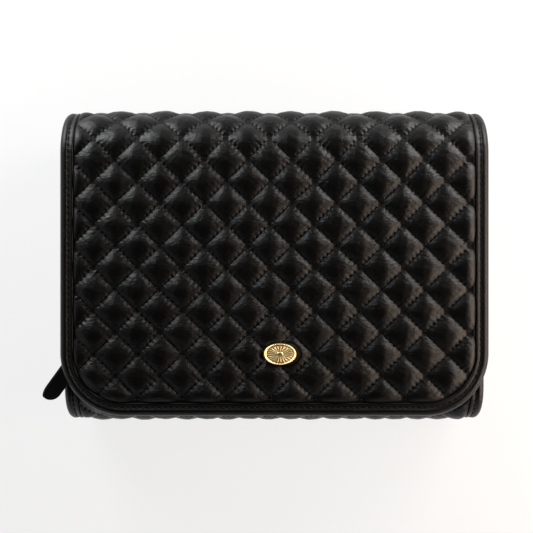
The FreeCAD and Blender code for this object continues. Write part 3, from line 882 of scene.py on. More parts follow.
class Finish(Enum):
    """Every finish of the case."""

    QUILT = LeatherFinish("quilted_black_leather", BLACK, WORN, (0.29, 0.42))
    BINDING = LeatherFinish("binding_black_leather", BLACK, RUBBED, (0.3, 0.42), 0.0008, 0.2)
    SMOOTH = LeatherFinish("strap_black_leather", BLACK, WORN, (0.36, 0.5), 0.0007, 0.15)
    THREAD = WovenFinish("black_thread", (0.003, 0.003, 0.003), (0.012, 0.0115, 0.011), 0.0004, 0.16)
    LINING_THREAD = WovenFinish("taupe_thread", (0.1, 0.075, 0.06), (0.22, 0.17, 0.135), 0.0004)
    SUEDE = SuedeFinish("taupe_suede", (0.2, 0.155, 0.12), (0.3, 0.245, 0.2))
    VELVET = SuedeFinish("ring_roll_velvet", (0.16, 0.12, 0.095), (0.26, 0.205, 0.165))
    TAPE = WovenFinish("black_zip_tape", (0.008, 0.008, 0.008), (0.035, 0.034, 0.034), 0.0007)
    ELASTIC = WovenFinish("brown_elastic", (0.05, 0.038, 0.03), (0.12, 0.095, 0.075), 0.001)
    GOLD = MetalFinish("pale_gold", (0.9, 0.68, 0.34), (0.76, 0.54, 0.24), (0.3, 0.42))
    STEEL = MetalFinish("plated_steel", (0.62, 0.62, 0.63), (0.5, 0.5, 0.5), (0.25, 0.4))
    BOARD = SuedeFinish("grey_board", (0.3, 0.27, 0.24), (0.4, 0.37, 0.33))


Palette = dict[Finish, bpy.types.Material]


@dataclass
class SubAssembly:
    """Pieces that belong together: each is dressed, put on its body and kept for the report."""

    palette: Palette
    made: list[Piece] = field(default_factory=list, init=False)

    def paint(self, piece: Piece, finish: Finish) -> None:
        """Give a piece its finish and keep it for the report.

        Args:
            piece: the piece.
            finish: its finish.
        """
        piece.data.materials.clear()
        piece.data.materials.append(self.palette[finish])
        self.made.append(piece)

    def dress(self, piece: Piece, finish: Finish, slot: str, *nodes: str, body: str = "") -> Piece:
        """Give a piece its finish and body, and hide the CAD nodes it stands for.

        Args:
            piece: the new piece.
            finish: its finish.
            slot: the record's material slot; not used.
            nodes: the CAD nodes that it replaces.
            body: the body it rides on, or nothing for a piece that is bent over a fold.

        Returns:
            The same piece.
        """
        self.paint(piece, finish)
        if nodes:
            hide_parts(*nodes)
        if body:
            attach(piece, body)
        return piece


@dataclass(frozen=True)
class Hinge:
    """One fold line of the top fold and the stretch of strip that bends over it."""

    number: int
    first: str
    last: str
    count: int = 4

    @property
    def start(self) -> float:
        """Station on the flap's side."""
        return STRIP.back_start * (self.count - self.number) / self.count

    @property
    def end(self) -> float:
        """Station on the back's side."""
        return STRIP.back_start * (self.count + 1 - self.number) / self.count

    def segment(self, stem: str) -> tuple[str, ...]:
        """The CAD segment of the fold on this stretch; the last stretch has none."""
        return (f"{stem}_{self.number}",) if self.number < self.count else ()

    def bend(self, piece: Piece) -> None:
        """Bake the piece's place into its mesh; the fold line's ends are worked out and not used."""
        ends = STRIP.place(np.zeros(2), np.array([self.end, self.start]), np.zeros(2)) * MM
        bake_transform(piece)


HINGES = (
    Hinge(1, "case", "spine_1"),
    Hinge(2, "spine_1", "spine_2"),
    Hinge(3, "spine_2", "spine_3"),
    Hinge(4, "spine_3", "flap"),
)


@dataclass
class QuiltedCover(SubAssembly):
    """The padded leather of the strip and its stitches, cut at the folds."""

    step: float = 0.5
    hidden_step: float = 0.68
    inset: float = 4.4
    depth: float = 2.2
    fill: float = 0.7
    thread: Thread = Thread(2.1, 0.4)
    thread_level: float = -0.1
    open_edge: float = 1.0

    def faces(self, s0: float, s1: float, step: float) -> tuple[Array, Array]:
        """Padded outer and plain inner face, narrower at the flap's round corners.

        Args:
            s0: first station.
            s1: last station.
            step: size of the grid's squares.

        Returns:
            Two grids of points.
        """
        s = np.linspace(s0, s1, int(round((s1 - s0) / step)) + 1)[:, None]
        across = np.linspace(-1.0, 1.0, int(round(2.0 * STRIP.quilt_half / step)) + 1)
        x = across * STRIP.half_at(s, self.inset)
        return STRIP.place(x, s, QUILT.relief(x, s)), STRIP.place(x, s, -self.depth)

    def sew(self, name: str, s0: float, s1: float, body: str = "") -> Piece:
        """The stitches of a stretch of the strip."""
        row = self.thread.sew(name, STRIP.place, QUILT.stitch_centres(s0, s1), self.thread_level)
        return self.dress(row, Finish.THREAD, "quilted_leather", body=body)

    def cover(self, piece: Piece, *nodes: str, body: str = "") -> Piece:
        """Dress one padded cover."""
        return self.dress(piece, Finish.QUILT, "quilted_leather", *nodes, body=body)

    def build(self) -> None:
        """Make the covers of flap, folds, back and lip."""
        flap_edge = STRIP.flap_end + self.inset
        back = STRIP.back_start, STRIP.bottom_start
        lip_end = STRIP.lip_start + STRIP.lip_quilt
        self.cover(backed("flap_quilt", *self.faces(flap_edge, 0.0, self.step)), "flap_cover", body="flap")
        self.sew("flap_quilt_stitches", STRIP.flap_end, 0.0, "flap")
        self.cover(backed("back_quilt", *self.faces(*back, self.hidden_step)), "back_cover", body="case")
        self.sew("back_quilt_stitches", *back, "case")
        front = slab("front_quilt", *self.faces(STRIP.bottom_start, lip_end, self.step))
        self.cover(front, "bottom_cover", "lip_cover", body="case")
        self.sew("front_quilt_stitches", STRIP.bottom_start, lip_end - self.open_edge, "case")
        for hinge in HINGES:
            fold = slab(f"top_fold_quilt_{hinge.number}", *self.faces(hinge.start, hinge.end, self.step))
            hinge.bend(self.cover(fold, *hinge.segment("spine_cover")))
            hinge.bend(self.sew(f"top_fold_stitches_{hinge.number}", hinge.start, hinge.end))


@dataclass(frozen=True)
class EdgePath:
    """A run along the strip's edge: its places, its inward normals and the distance gone."""

    x: Array
    s: Array
    across: Array
    along: Array
    gone: Array


@dataclass
class EdgeBinding(SubAssembly):
    """The rolled leather binding round every edge of the strip, with its stitch row."""

    step: float = 1.2
    fold_rings: int = 20
    lip_reach: float = 40.91
    roll: float = 3.5
    roll_level: float = -2.3
    roll_turn: tuple[float, float, int] = (-90.0, 84.0, 15)
    fold_in: tuple[float, ...] = (3.9, 4.3, 4.7, 5.1, 5.6, 6.2, 6.7, 7.05, 7.3, 7.42, 7.45, 7.4, 7.4)
    fold_out: tuple[float, ...] = (
        1.05, 0.62, 0.42, 0.55, 0.8, 1.0, 1.12, 1.1, 0.9, 0.5, -0.4, -3.2, -5.8,
    )
    seam: float = 4.7
    pitch: float = 3.3
    thread: Thread = Thread(2.5, 0.42)
    thread_level: float = 0.32
    ripple: float = 0.12
    ripple_width: float = 1.1

    def rings(self, path: EdgePath) -> Array:
        """Rings of the binding's section along a path.

        A half circle makes the rolled edge; a dip holds the stitches; a second, lower
        swelling is the folded inner edge. A cosine along the path ripples the dip.

        Args:
            path: the strip's edge.

        Returns:
            Grid of points, a row for each place on the path.
        """
        turn = np.radians(np.linspace(*self.roll_turn))
        u = np.concatenate([self.roll - self.roll * np.cos(turn), self.fold_in])
        v = np.concatenate([self.roll_level + self.roll * np.sin(turn), self.fold_out])
        wave = np.cos(TURN * path.gone / self.pitch)[:, None] * bell(u - self.seam, self.ripple_width)
        x = path.x[:, None] + path.across[:, None] * u
        s = path.s[:, None] + path.along[:, None] * u
        return STRIP.place(x, s, v - self.ripple * wave)

    def flap_path(self) -> EdgePath:
        """Outline of the flap from the left fold round to the right.

        Two straight sides, two quarter circles and the lower edge, at equal steps.

        Returns:
            The path.
        """
        radius = STRIP.corner_radius
        side = STRIP.half_width
        end = STRIP.flap_end
        inner = side - radius
        straight = np.arange(0.0, -end - radius, self.step)
        turn = np.linspace(0.0, RIGHT_ANGLE, int(radius * RIGHT_ANGLE / self.step) + 1)
        run = np.arange(-inner + self.step, inner, self.step)
        sin, cos = np.sin(turn), np.cos(turn)
        one, none = np.ones(straight.size), np.zeros(straight.size)
        level, flat = np.ones(run.size), np.zeros(run.size)
        x = np.concatenate([-side * one, -inner - radius * cos, run, inner + radius * sin, side * one])
        low = end + radius
        s = np.concatenate([-straight, low - radius * sin, end * level, low - radius * cos, -straight[::-1]])
        across = np.concatenate([one, cos, flat, -sin, -one])
        along = np.concatenate([none, sin, level, cos, none])
        return EdgePath(x, s, across, along, travelled(x, s))

    def side_path(self, stations: Array, side: Side) -> EdgePath:
        """A stretch of one long edge; its ripples count from the strip's start."""
        one = np.full(stations.size, side.value)
        return EdgePath(one * STRIP.half_width, stations, -one, 0.0 * one, stations)

    def bind(
        self, names: tuple[str, str], path: EdgePath, nodes: tuple[str, ...], body: str = ""
    ) -> list[Piece]:
        """One length of binding and its stitches, at equal steps beside the rolled edge.

        Args:
            names: the names of the binding and of its stitches.
            path: the strip's edge.
            nodes: the CAD nodes that the binding replaces.
            body: the body both ride on, or nothing over a fold.

        Returns:
            Both pieces.
        """
        roll = tube(names[0], self.rings(path))
        self.dress(roll, Finish.BINDING, "binding_leather", *nodes, body=body)
        x = path.x + path.across * self.seam
        s = path.s + path.along * self.seam
        gone = travelled(x, s)
        at = np.arange(0.5 * self.pitch, gone[-1], self.pitch)
        x, s, across, along = (np.interp(at, gone, values) for values in (x, s, path.across, path.along))
        size = np.hypot(across, along)
        row = self.thread.sew(names[1], STRIP.place, (x, s, along / size, -across / size), self.thread_level)
        return [roll, self.dress(row, Finish.THREAD, "binding_leather", body=body)]

    def build(self) -> None:
        """Make the binding of the flap, the folds and both edges of the body."""
        self.bind(("flap_binding_roll", "flap_binding_stitches"), self.flap_path(), ("flap_binding",), "flap")
        body = np.arange(STRIP.back_start, STRIP.lip_start + self.lip_reach, self.step)
        for side in Side:
            first = side is Side.LEFT
            names = f"body_binding_{side.word}", f"body_binding_stitches_{side.word}"
            nodes = ("back_binding", "bottom_binding", "lip_binding") if first else ()
            self.bind(names, self.side_path(body, side), nodes, "case")
            for hinge in HINGES:
                end = f"{side.word}_{hinge.number}"
                names = f"top_fold_binding_{end}", f"top_fold_binding_stitches_{end}"
                stations = np.linspace(hinge.start, hinge.end, self.fold_rings)
                nodes = hinge.segment("spine_binding") if first else ()
                for piece in self.bind(names, self.side_path(stations, side), nodes):
                    hinge.bend(piece)


@dataclass
class Lining(SubAssembly):
    """The suede on the inner faces of flap, folds, back and lip."""

    step: float = 2.0
    fewest_rows: int = 6
    columns: int = 113
    inset: float = 2.6
    hidden: float = 0.85
    proud: float = 0.05
    swell: tuple[Wave, Wave] = (Wave(0.12, 0.09, phase=0.4), Wave(1.0, 0.07, 0.11))
    swell_edge: float = 8.0
    lip_reach: float = 24.7
    samples: int = 400

    def sheet(self, name: str, s0: float, s1: float) -> Piece:
        """A lining sheet on a stretch of the strip; two crossed waves swell it where it isn't glued.

        Args:
            name: the piece's name.
            s0: first station.
            s1: last station.

        Returns:
            The new object.
        """
        s = np.linspace(s0, s1, max(int((s1 - s0) / self.step), self.fewest_rows) + 1)[:, None]
        half = STRIP.half_at(s, self.inset)
        x = np.linspace(-1.0, 1.0, self.columns) * half
        swell = np.minimum(self.swell[0].at(x, s) * self.swell[1].at(x, s), 0.0)
        edge = clamp((half - np.abs(x)) / self.swell_edge)
        outer = STRIP.place(x, s, -STRIP.panel_depth + self.hidden)
        return slab(name, outer, STRIP.place(x, s, -STRIP.panel_depth - self.proud + swell * edge))

    def cut(self, piece: Piece, s0: float, s1: float, held: str, rests_on: str) -> None:
        """Work out the strip's middle line at the lining's depth between two stations; nothing uses it.

        Args:
            piece: the lining; not used.
            s0: first station.
            s1: last station.
            held: how the sheet is held; not used.
            rests_on: the piece or node behind it; not used.
        """
        s = np.linspace(s0, s1, self.samples)
        line = STRIP.place(0.0, s, -STRIP.panel_depth)

    def lay(self, name: str, ends: tuple[float, float], nodes: tuple[str, ...], body: str = "") -> Piece:
        """Make and dress one lining sheet."""
        return self.dress(self.sheet(name, *ends), Finish.SUEDE, "suede_lining", *nodes, body=body)

    def build(self) -> None:
        """Make every lining sheet."""
        ends = STRIP.flap_end + self.inset, 0.0
        self.cut(self.lay("flap_lining_suede", ends, ("flap_lining",), "flap"), *ends, "laid", "flap_board")
        ends = STRIP.back_start, STRIP.lip_start + self.lip_reach
        body = self.lay("body_lining_suede", ends, ("back_lining", "bottom_lining", "lip_lining"), "case")
        self.cut(body, *ends, "stretched", "back_board")
        for hinge in HINGES:
            ends = hinge.start, hinge.end
            fold = self.lay(f"top_fold_lining_{hinge.number}", ends, hinge.segment("spine_lining"))
            hinge.bend(fold)
            self.cut(fold, *ends, "stretched", f"top_fold_quilt_{hinge.number}")


@dataclass
class PullTab(SubAssembly):
    """The leather pull of the zip: a strap folded round the ring's bar."""

    pivot: Point = (-97.2, -36.0, 42.4)
    direction: float = math.radians(234.0)
    bar: float = 8.5
    tip: float = 44.7
    tip_run: float = 3.0
    tip_start: float = 0.03
    rings: tuple[int, int] = (60, 16)
    sides: int = 40
    half_width: float = 4.5
    neck: float = 2.3
    shoulder_start: float = 1.5
    shoulder: float = 5.0
    taper: float = 1.6
    tip_power: float = 2.4
    least: float = 0.02
    lean: float = 0.42
    half_thick: float = 0.85
    thin_below: float = 1.2
    strap_powers: tuple[float, float] = (0.45, 0.6)
    eye_grid: tuple[int, int] = (28, 20)
    eye_radius: float = 1.02
    eye_wall: float = 0.36
    eye_powers: tuple[float, float] = (0.5, 0.4)
    seam: float = 1.3
    seam_ends: tuple[float, float] = (4.0, 1.9)
    seam_points: int = 200
    first_stitch: float = 1.2
    pitch: float = 2.3
    thread: Thread = Thread(1.6, 0.2)

    def place(self, e: Array, f: Array, h: Array) -> Array:
        """Along the tab, across it and up, to a point in space."""
        cos, sin = math.cos(self.direction), math.sin(self.direction)
        return points(self.pivot[0] + e * cos - f * sin, self.pivot[1] + e * sin + f * cos, self.pivot[2] + h)

    def half_at(self, e: Array) -> Array:
        """Half width of the tab: a narrow neck, a smooth shoulder and a long rounded tip.

        Args:
            e: distance along the tab.

        Returns:
            Half widths in millimetres.
        """
        t = clamp((e - self.bar - self.shoulder_start) / self.shoulder)
        body = self.neck + (self.half_width - self.neck) * t * t * (3.0 - 2.0 * t)
        tip = clamp((self.tip - e) / (self.taper * self.half_width))
        return body * np.sqrt(np.maximum(1.0 - (1.0 - tip) ** self.tip_power, 0.0)) + self.least

    def middle_at(self, e: Array) -> Array:
        """Middle line: the tip leans to one side, so one edge stays straight and the other curves in."""
        beyond = e > self.tip - self.taper * self.half_width
        return -self.lean * (self.half_width - self.half_at(e)) * beyond

    def strap(self) -> Piece:
        """The strap: a flat section with filled shoulders, thinner where the tip closes.

        Returns:
            The new object.
        """
        body = np.linspace(self.bar, self.tip - self.tip_run, self.rings[0])
        close = np.linspace(self.tip_start, RIGHT_ANGLE, self.rings[1])
        close = self.tip - self.tip_run * np.cos(close)
        e = np.concatenate([body, close])[:, None]
        turn = around(self.sides)
        half = self.half_at(e)
        across = self.middle_at(e) + half * squared(np.cos(turn), self.strap_powers[0])
        thick = self.half_thick * squared(np.sin(turn), self.strap_powers[1])
        return tube("pull_tab_strap", self.place(e, across, thick * np.minimum(1.0, half / self.thin_below)))

    def eye(self) -> Piece:
        """The folded eye: a ring of flat section round the bar.

        Returns:
            The new object.
        """
        steps, sides = self.eye_grid
        ring = around(steps)[:, None]
        corner = around(sides)
        radius = self.eye_radius + self.eye_wall * squared(np.cos(corner), self.eye_powers[0])
        across = self.neck * squared(np.sin(corner), self.eye_powers[1])
        verts = self.place(self.bar + radius * np.cos(ring), across, radius * np.sin(ring))
        quads = grid_quads(steps + 1, sides, wrap=True) % (steps * sides)
        return outward(add_mesh("pull_tab_eye", verts, quads))

    def edge_stitches(self) -> Piece:
        """Stitches inside the strap's edge, down one side, round the tip and back.

        Returns:
            The new object.
        """
        start, end = self.bar + self.seam_ends[0], self.tip - self.seam_ends[1]
        e = np.linspace(start, end, self.seam_points)
        f = np.maximum(self.half_at(e) - self.seam, 0.0)
        middle = self.middle_at(e)
        there_and_back = np.concatenate([e, e[::-1]])
        across = np.concatenate([middle + f, (middle - f)[::-1]])
        centres = stitch_row(there_and_back, across, self.pitch, self.first_stitch)
        return self.thread.sew("pull_tab_stitches", self.place, centres, self.half_thick)

    def build(self) -> None:
        """Make the strap, its folded eye and its edge stitching."""
        self.dress(self.strap(), Finish.SMOOTH, "smooth_leather", "pull_tab", body="zip_pull")
        self.dress(self.eye(), Finish.SMOOTH, "smooth_leather", body="zip_pull")
        self.dress(self.edge_stitches(), Finish.THREAD, "smooth_leather", body="zip_pull")


@dataclass
class BadgePlate(SubAssembly):
    """A plain oval plate with a beaded rim and a fluted field."""

    middle: Point = (QUILT.badge_place[0], STRIP.top_y + QUILT.badge_place[1], 51.0)
    long: float = QUILT.badge_size[0]
    short: float = QUILT.badge_size[1]
    rim: tuple[float, ...] = (0.97, 1.0, 1.0, 0.985, 0.955, 0.915, 0.875, 0.845)
    rim_height: tuple[float, ...] = (0.0, 0.1, 1.1, 1.65, 2.0, 2.15, 2.0, 1.75)
    field_ends: tuple[float, float, int] = (0.82, 0.06, 22)
    dome_foot: float = 1.15
    dome: float = 0.85
    boss: float = 0.45
    boss_share: float = 0.2
    beads: int = 40
    bead_height: float = 0.28
    bead_sunk: float = 0.1
    bead_share: float = 0.915
    bead_width: float = 0.045
    flutes: int = 22
    flute_height: float = 0.42
    flute_fades: tuple[float, float] = (0.1, 0.04)
    columns: int = 440

    def build(self) -> None:
        """Turn a profile round the oval: foot, beaded rim, groove and a domed, fluted field.

        Beads and flutes are rectified sines round the oval, and a half ball stands in the middle.
        """
        inner = np.linspace(*self.field_ends)
        boss = self.boss * np.sqrt(clamp(1.0 - (inner / self.boss_share) ** 2))
        field_height = self.dome_foot + self.dome * np.sqrt(1.0 - inner**2) + boss
        share = np.concatenate([self.rim, inner])[:, None]
        height = np.concatenate([self.rim_height, field_height])[:, None]
        turn = around(self.columns)
        bead = bell(share - self.bead_share, self.bead_width)
        lift = bead * (self.bead_height * np.abs(np.sin(0.5 * self.beads * turn)) - self.bead_sunk)
        fluted = clamp((self.field_ends[0] - share) / self.flute_fades[0])
        fluted = fluted * clamp((share - self.boss_share) / self.flute_fades[1]) * share
        flute = self.flute_height * np.abs(np.sin(0.5 * self.flutes * turn)) * fluted
        x = self.middle[0] + self.long * share * np.cos(turn)
        y = self.middle[1] + self.short * share * np.sin(turn)
        plate = tube("badge_oval", points(x, y, self.middle[2] + height + lift + flute))
        self.dress(plate, Finish.GOLD, "gold_metal", "badge_plate", body="flap")


def pad_grid(low: Array, high: Array, step: float) -> tuple[Array, Array, Array]:
    """Grid over a box seen from above, with the distance in from the box's edge.

    Args:
        low: the box's lowest corner.
        high: its highest corner.
        step: size of the grid's squares.

    Returns:
        A row of x, a column of y, and the distance at each point.
    """
    x = np.linspace(low[0], high[0], int((high[0] - low[0]) / step) + 1)
    y = np.linspace(low[1], high[1], int((high[1] - low[1]) / step) + 1)[:, None]
    edge = np.minimum(np.minimum(x - low[0], high[0] - x), np.minimum(y - low[1], high[1] - y))
    return x, y, edge


@dataclass
class TrayFittings(SubAssembly):
    """What lies on the lined back, and the slip pocket on the flap's lining."""

    floor: float = 7.4
    lining: float = 44.6
    page_step: float = 0.7
    page_foot: float = 0.2
    page_crown: float = 2.1
    page_round: float = 2.2
    page_waves: tuple[Wave, Wave] = (Wave(0.1, 0.1), Wave(1.0, 0.0, 0.13))
    hole_columns: int = 8
    hole_pitch: float = 21.0
    hole_pair: float = 3.5
    hole_depth: float = 1.9
    hole_radius: float = 1.0
    hole_rim: Triple = (0.16, 1.7, 0.5)
    page_fill: float = 0.4
    roll_fill: float = 0.85
    roll_round: float = 7.0
    roll_slack: float = 0.15
    roll_least: float = 0.25
    roll_sag: Wave = Wave(0.12, 0.13)
    roll_oval: Wave = Wave(1.0, 2.0, phase=0.4)
    roll_parts: float = 24.0
    roll_run: tuple[float, float, int] = (1.08, 11.0, 70)
    roll_sides: int = 72
    end_rings: int = 14
    gathers: int = 18
    gather: float = 0.22
    gather_fade: float = 5.0
    strap_powers: tuple[float, float] = (0.3, 0.5)
    strap_least: float = 0.02
    strap_clear: float = 3.0
    strap_rings: int = 40
    strap_sides: int = 32
    pocket_step: float = 1.0
    pocket_back: float = 0.05
    pocket_thick: float = 0.55
    pocket_swell: float = 0.35
    pocket_edge: float = 5.0
    pocket_gather: float = 0.28
    pocket_fade: float = 16.0
    pocket_wave: Wave = Wave(1.0, 0.9)
    pocket_bend: Wave = Wave(0.8, 0.13)
    band_step: float = 0.5
    band_rib: float = 0.12
    band_fade: float = 0.8
    band_foot: float = 0.25
    band_round: float = 0.9
    band_sunk: float = 0.3
    band_pitch: float = 2.4
    band_crown: float = 0.5

    def earring_pad(self) -> None:
        """A padded page with pairs of pin holes: a slab with quarter-circle edges and round dimples."""
        low, high = corners("earring_pad")
        x, y, edge = pad_grid(low, high, self.page_step)
        wave = self.page_waves[0].at(x) * self.page_waves[1].at(0.0, y)
        z = self.floor + self.page_foot + self.page_crown * quarter(edge, self.page_round) + wave
        columns = (np.arange(self.hole_columns) - 0.5 * (self.hole_columns - 1)) * self.hole_pitch
        across = np.min(np.abs(np.abs(x[:, None] - columns) - self.hole_pair), axis=-1)
        middle = 0.5 * (low[1] + high[1])
        down = np.abs(np.abs(y - middle) - 0.25 * (high[1] - low[1]))
        hole = np.hypot(across, down)
        raised, out, wide = self.hole_rim
        z = z - self.hole_depth * bell(hole, self.hole_radius, power=4) + raised * bell(hole - out, wide)
        page = slab("earring_page", points(x, y, z), points(x, y, np.full(z.shape, self.floor)))
        self.dress(page, Finish.SUEDE, "suede_lining", "earring_pad", body="case")

    def ring_roll(self) -> None:
        """A stuffed roll: a circle turned round X, drawn in at gathered ends, with a slow sag."""
        low, high = corners("ring_roll")
        middle = 0.5 * (low + high)
        half = np.concatenate([rounded_end(self.end_rings), np.linspace(*self.roll_run)])
        share = np.concatenate([half, (self.roll_parts - half)[::-1]]) / self.roll_parts
        x = (low[0] + share * (high[0] - low[0]))[:, None]
        inset = np.minimum(x - low[0], high[0] - x)
        turn = around(self.roll_sides)
        gather = self.gather * np.exp(-inset / self.gather_fade) * np.sin(self.gathers * turn)
        sag = self.roll_sag.at(x) * self.roll_oval.at(turn)
        radius = 0.5 * (high[2] - low[2]) - self.roll_slack + sag + gather
        reach = np.maximum(quarter(inset, self.roll_round) * radius, self.roll_least)
        rings = points(x, middle[1] + reach * np.cos(turn), middle[2] + reach * np.sin(turn))
        roll = tube("ring_roll_velvet_roll", rings)
        self.dress(roll, Finish.VELVET, "suede_lining", "ring_roll", body="ring_roll")

    def roll_strap(self) -> None:
        """The strap under the roll: a flat section with rounded ends, drawn along X."""
        low, high = corners("ring_roll_strap")
        middle = 0.5 * (low + high)
        half = 0.5 * (high - low)
        ends = half[1] * rounded_end(self.end_rings)
        clear = half[1] + self.strap_clear
        run = np.linspace(low[0] + clear, high[0] - clear, self.strap_rings)
        x = np.concatenate([low[0] + ends, run, (high[0] - ends)[::-1]])[:, None]
        width = half[1] * quarter(np.minimum(x - low[0], high[0] - x), half[1]) + self.strap_least
        turn = around(self.strap_sides)
        y = middle[1] + width * squared(np.cos(turn), self.strap_powers[0])
        z = middle[2] + half[2] * squared(np.sin(turn), self.strap_powers[1])
        strap = tube("ring_roll_leather_strap", points(x, y, z))
        self.dress(strap, Finish.SMOOTH, "smooth_leather", "ring_roll_strap", body="ring_roll")

    def slip_pocket(self) -> None:
        """The flap's slip pocket: a thin sheet that swells a little, gathered under its ribbed band."""
        low, high = corners("slip_pocket")
        x, y, _ = pad_grid(low, high, self.pocket_step)
        sewn = np.minimum(np.minimum(x - low[0], high[0] - x), y - low[1])
        wave = self.pocket_wave.at(x, bend=self.pocket_bend.at(x))
        gather = np.exp(-(high[1] - y) / self.pocket_fade) * wave
        swell = clamp(sewn / self.pocket_edge)
        z = self.lining - self.pocket_thick - (self.pocket_swell + self.pocket_gather * gather) * swell
        back = np.full(z.shape, self.lining - self.pocket_back)
        sheet = slab("slip_pocket_sheet", points(x, y, back), points(x, y, z))
        self.dress(sheet, Finish.SUEDE, "suede_lining", "slip_pocket", body="flap")
        low, high = corners("slip_pocket_elastic")
        x, y, edge = pad_grid(low, high, self.band_step)
        rib = self.band_rib * np.cos(TURN * x / self.band_pitch) * clamp(edge / self.band_fade)
        z = high[2] - self.band_foot - self.band_crown * quarter(edge, self.band_round) - rib
        back = np.full(z.shape, high[2] + self.band_sunk)
        band = slab("slip_pocket_band", points(x, y, back), points(x, y, z))
        self.dress(band, Finish.ELASTIC, "elastic", "slip_pocket_elastic", body="flap")

    def build(self) -> None:
        """Make all the fittings."""
        self.earring_pad()
        self.ring_roll()
        self.roll_strap()
        self.slip_pocket()


@dataclass
class FlatSeams(SubAssembly):
    """Sewn rows on the pocket, the earring page, the zip facings and the roll's strap."""

    pitch: float = 3.0
    thread: Thread = Thread(2.2, 0.3)
    thread_level: float = 0.05
    pocket_seam: float = 1.6
    pocket_open: float = 6.0
    pocket_level: float = -0.66
    page_seam: float = 2.8
    page_level: float = -0.1
    edge_seam: float = 1.2
    facing_end: float = 2.0
    strap_end: float = 5.0

    def row(
        self,
        name: str,
        path: tuple[list[float], list[float]],
        level: float,
        body: str,
        slot: str,
        facing: float = 1.0,
    ) -> None:
        """One row along a path of corners at a level, standing out up or down.

        Args:
            name: the piece's name.
            path: corners across and along.
            level: height of the sewn face.
            body: the body it rides on.
            slot: the record's material slot.
            facing: one for an upper face, minus one for a lower one.
        """
        def place(e: Array, f: Array, h: Array) -> Array:
            """A point on the sewn face."""
            return points(e, f, level + facing * h)

        centres = stitch_row(*(np.array(p, float) for p in path), self.pitch, 0.5 * self.pitch)
        piece = outward(self.thread.sew(name, place, centres, self.thread_level))
        finish = Finish.LINING_THREAD if slot == "suede_lining" else Finish.THREAD
        self.dress(piece, finish, slot, body=body)

    def build(self) -> None:
        """Sew every row."""
        low, high = corners("slip_pocket")
        x0, x1 = low[0] + self.pocket_seam, high[0] - self.pocket_seam
        y0, y1 = low[1] + self.pocket_seam, high[1] - self.pocket_open
        path = [x0, x0, x1, x1], [y1, y0, y0, y1]
        self.row("slip_pocket_stitches", path, high[2] + self.pocket_level, "flap", "suede_lining", -1.0)
        low, high = corners("earring_pad")
        x0, x1 = low[0] + self.page_seam, high[0] - self.page_seam
        y0, y1 = low[1] + self.page_seam, high[1] - self.page_seam
        path = [x0, x1, x1, x0, x0], [y0, y0, y1, y1, y0]
        self.row("earring_page_stitches", path, high[2] + self.page_level, "case", "suede_lining")
        for word in ("lower", "upper"):
            low, high = corners(f"zip_facing_{word}")
            y = high[1] - self.edge_seam if word == "lower" else low[1] + self.edge_seam
            path = [low[0] + self.facing_end, high[0] - self.facing_end], [y, y]
            self.row(f"zip_facing_stitches_{word}", path, high[2], "case", "binding_leather")
        low, high = corners("ring_roll_strap")
        for word, y in (("lower", low[1] + self.edge_seam), ("upper", high[1] - self.edge_seam)):
            path = [low[0] + self.strap_end, high[0] - self.strap_end], [y, y]
            self.row(f"ring_roll_strap_stitches_{word}", path, high[2], "ring_roll", "smooth_leather")


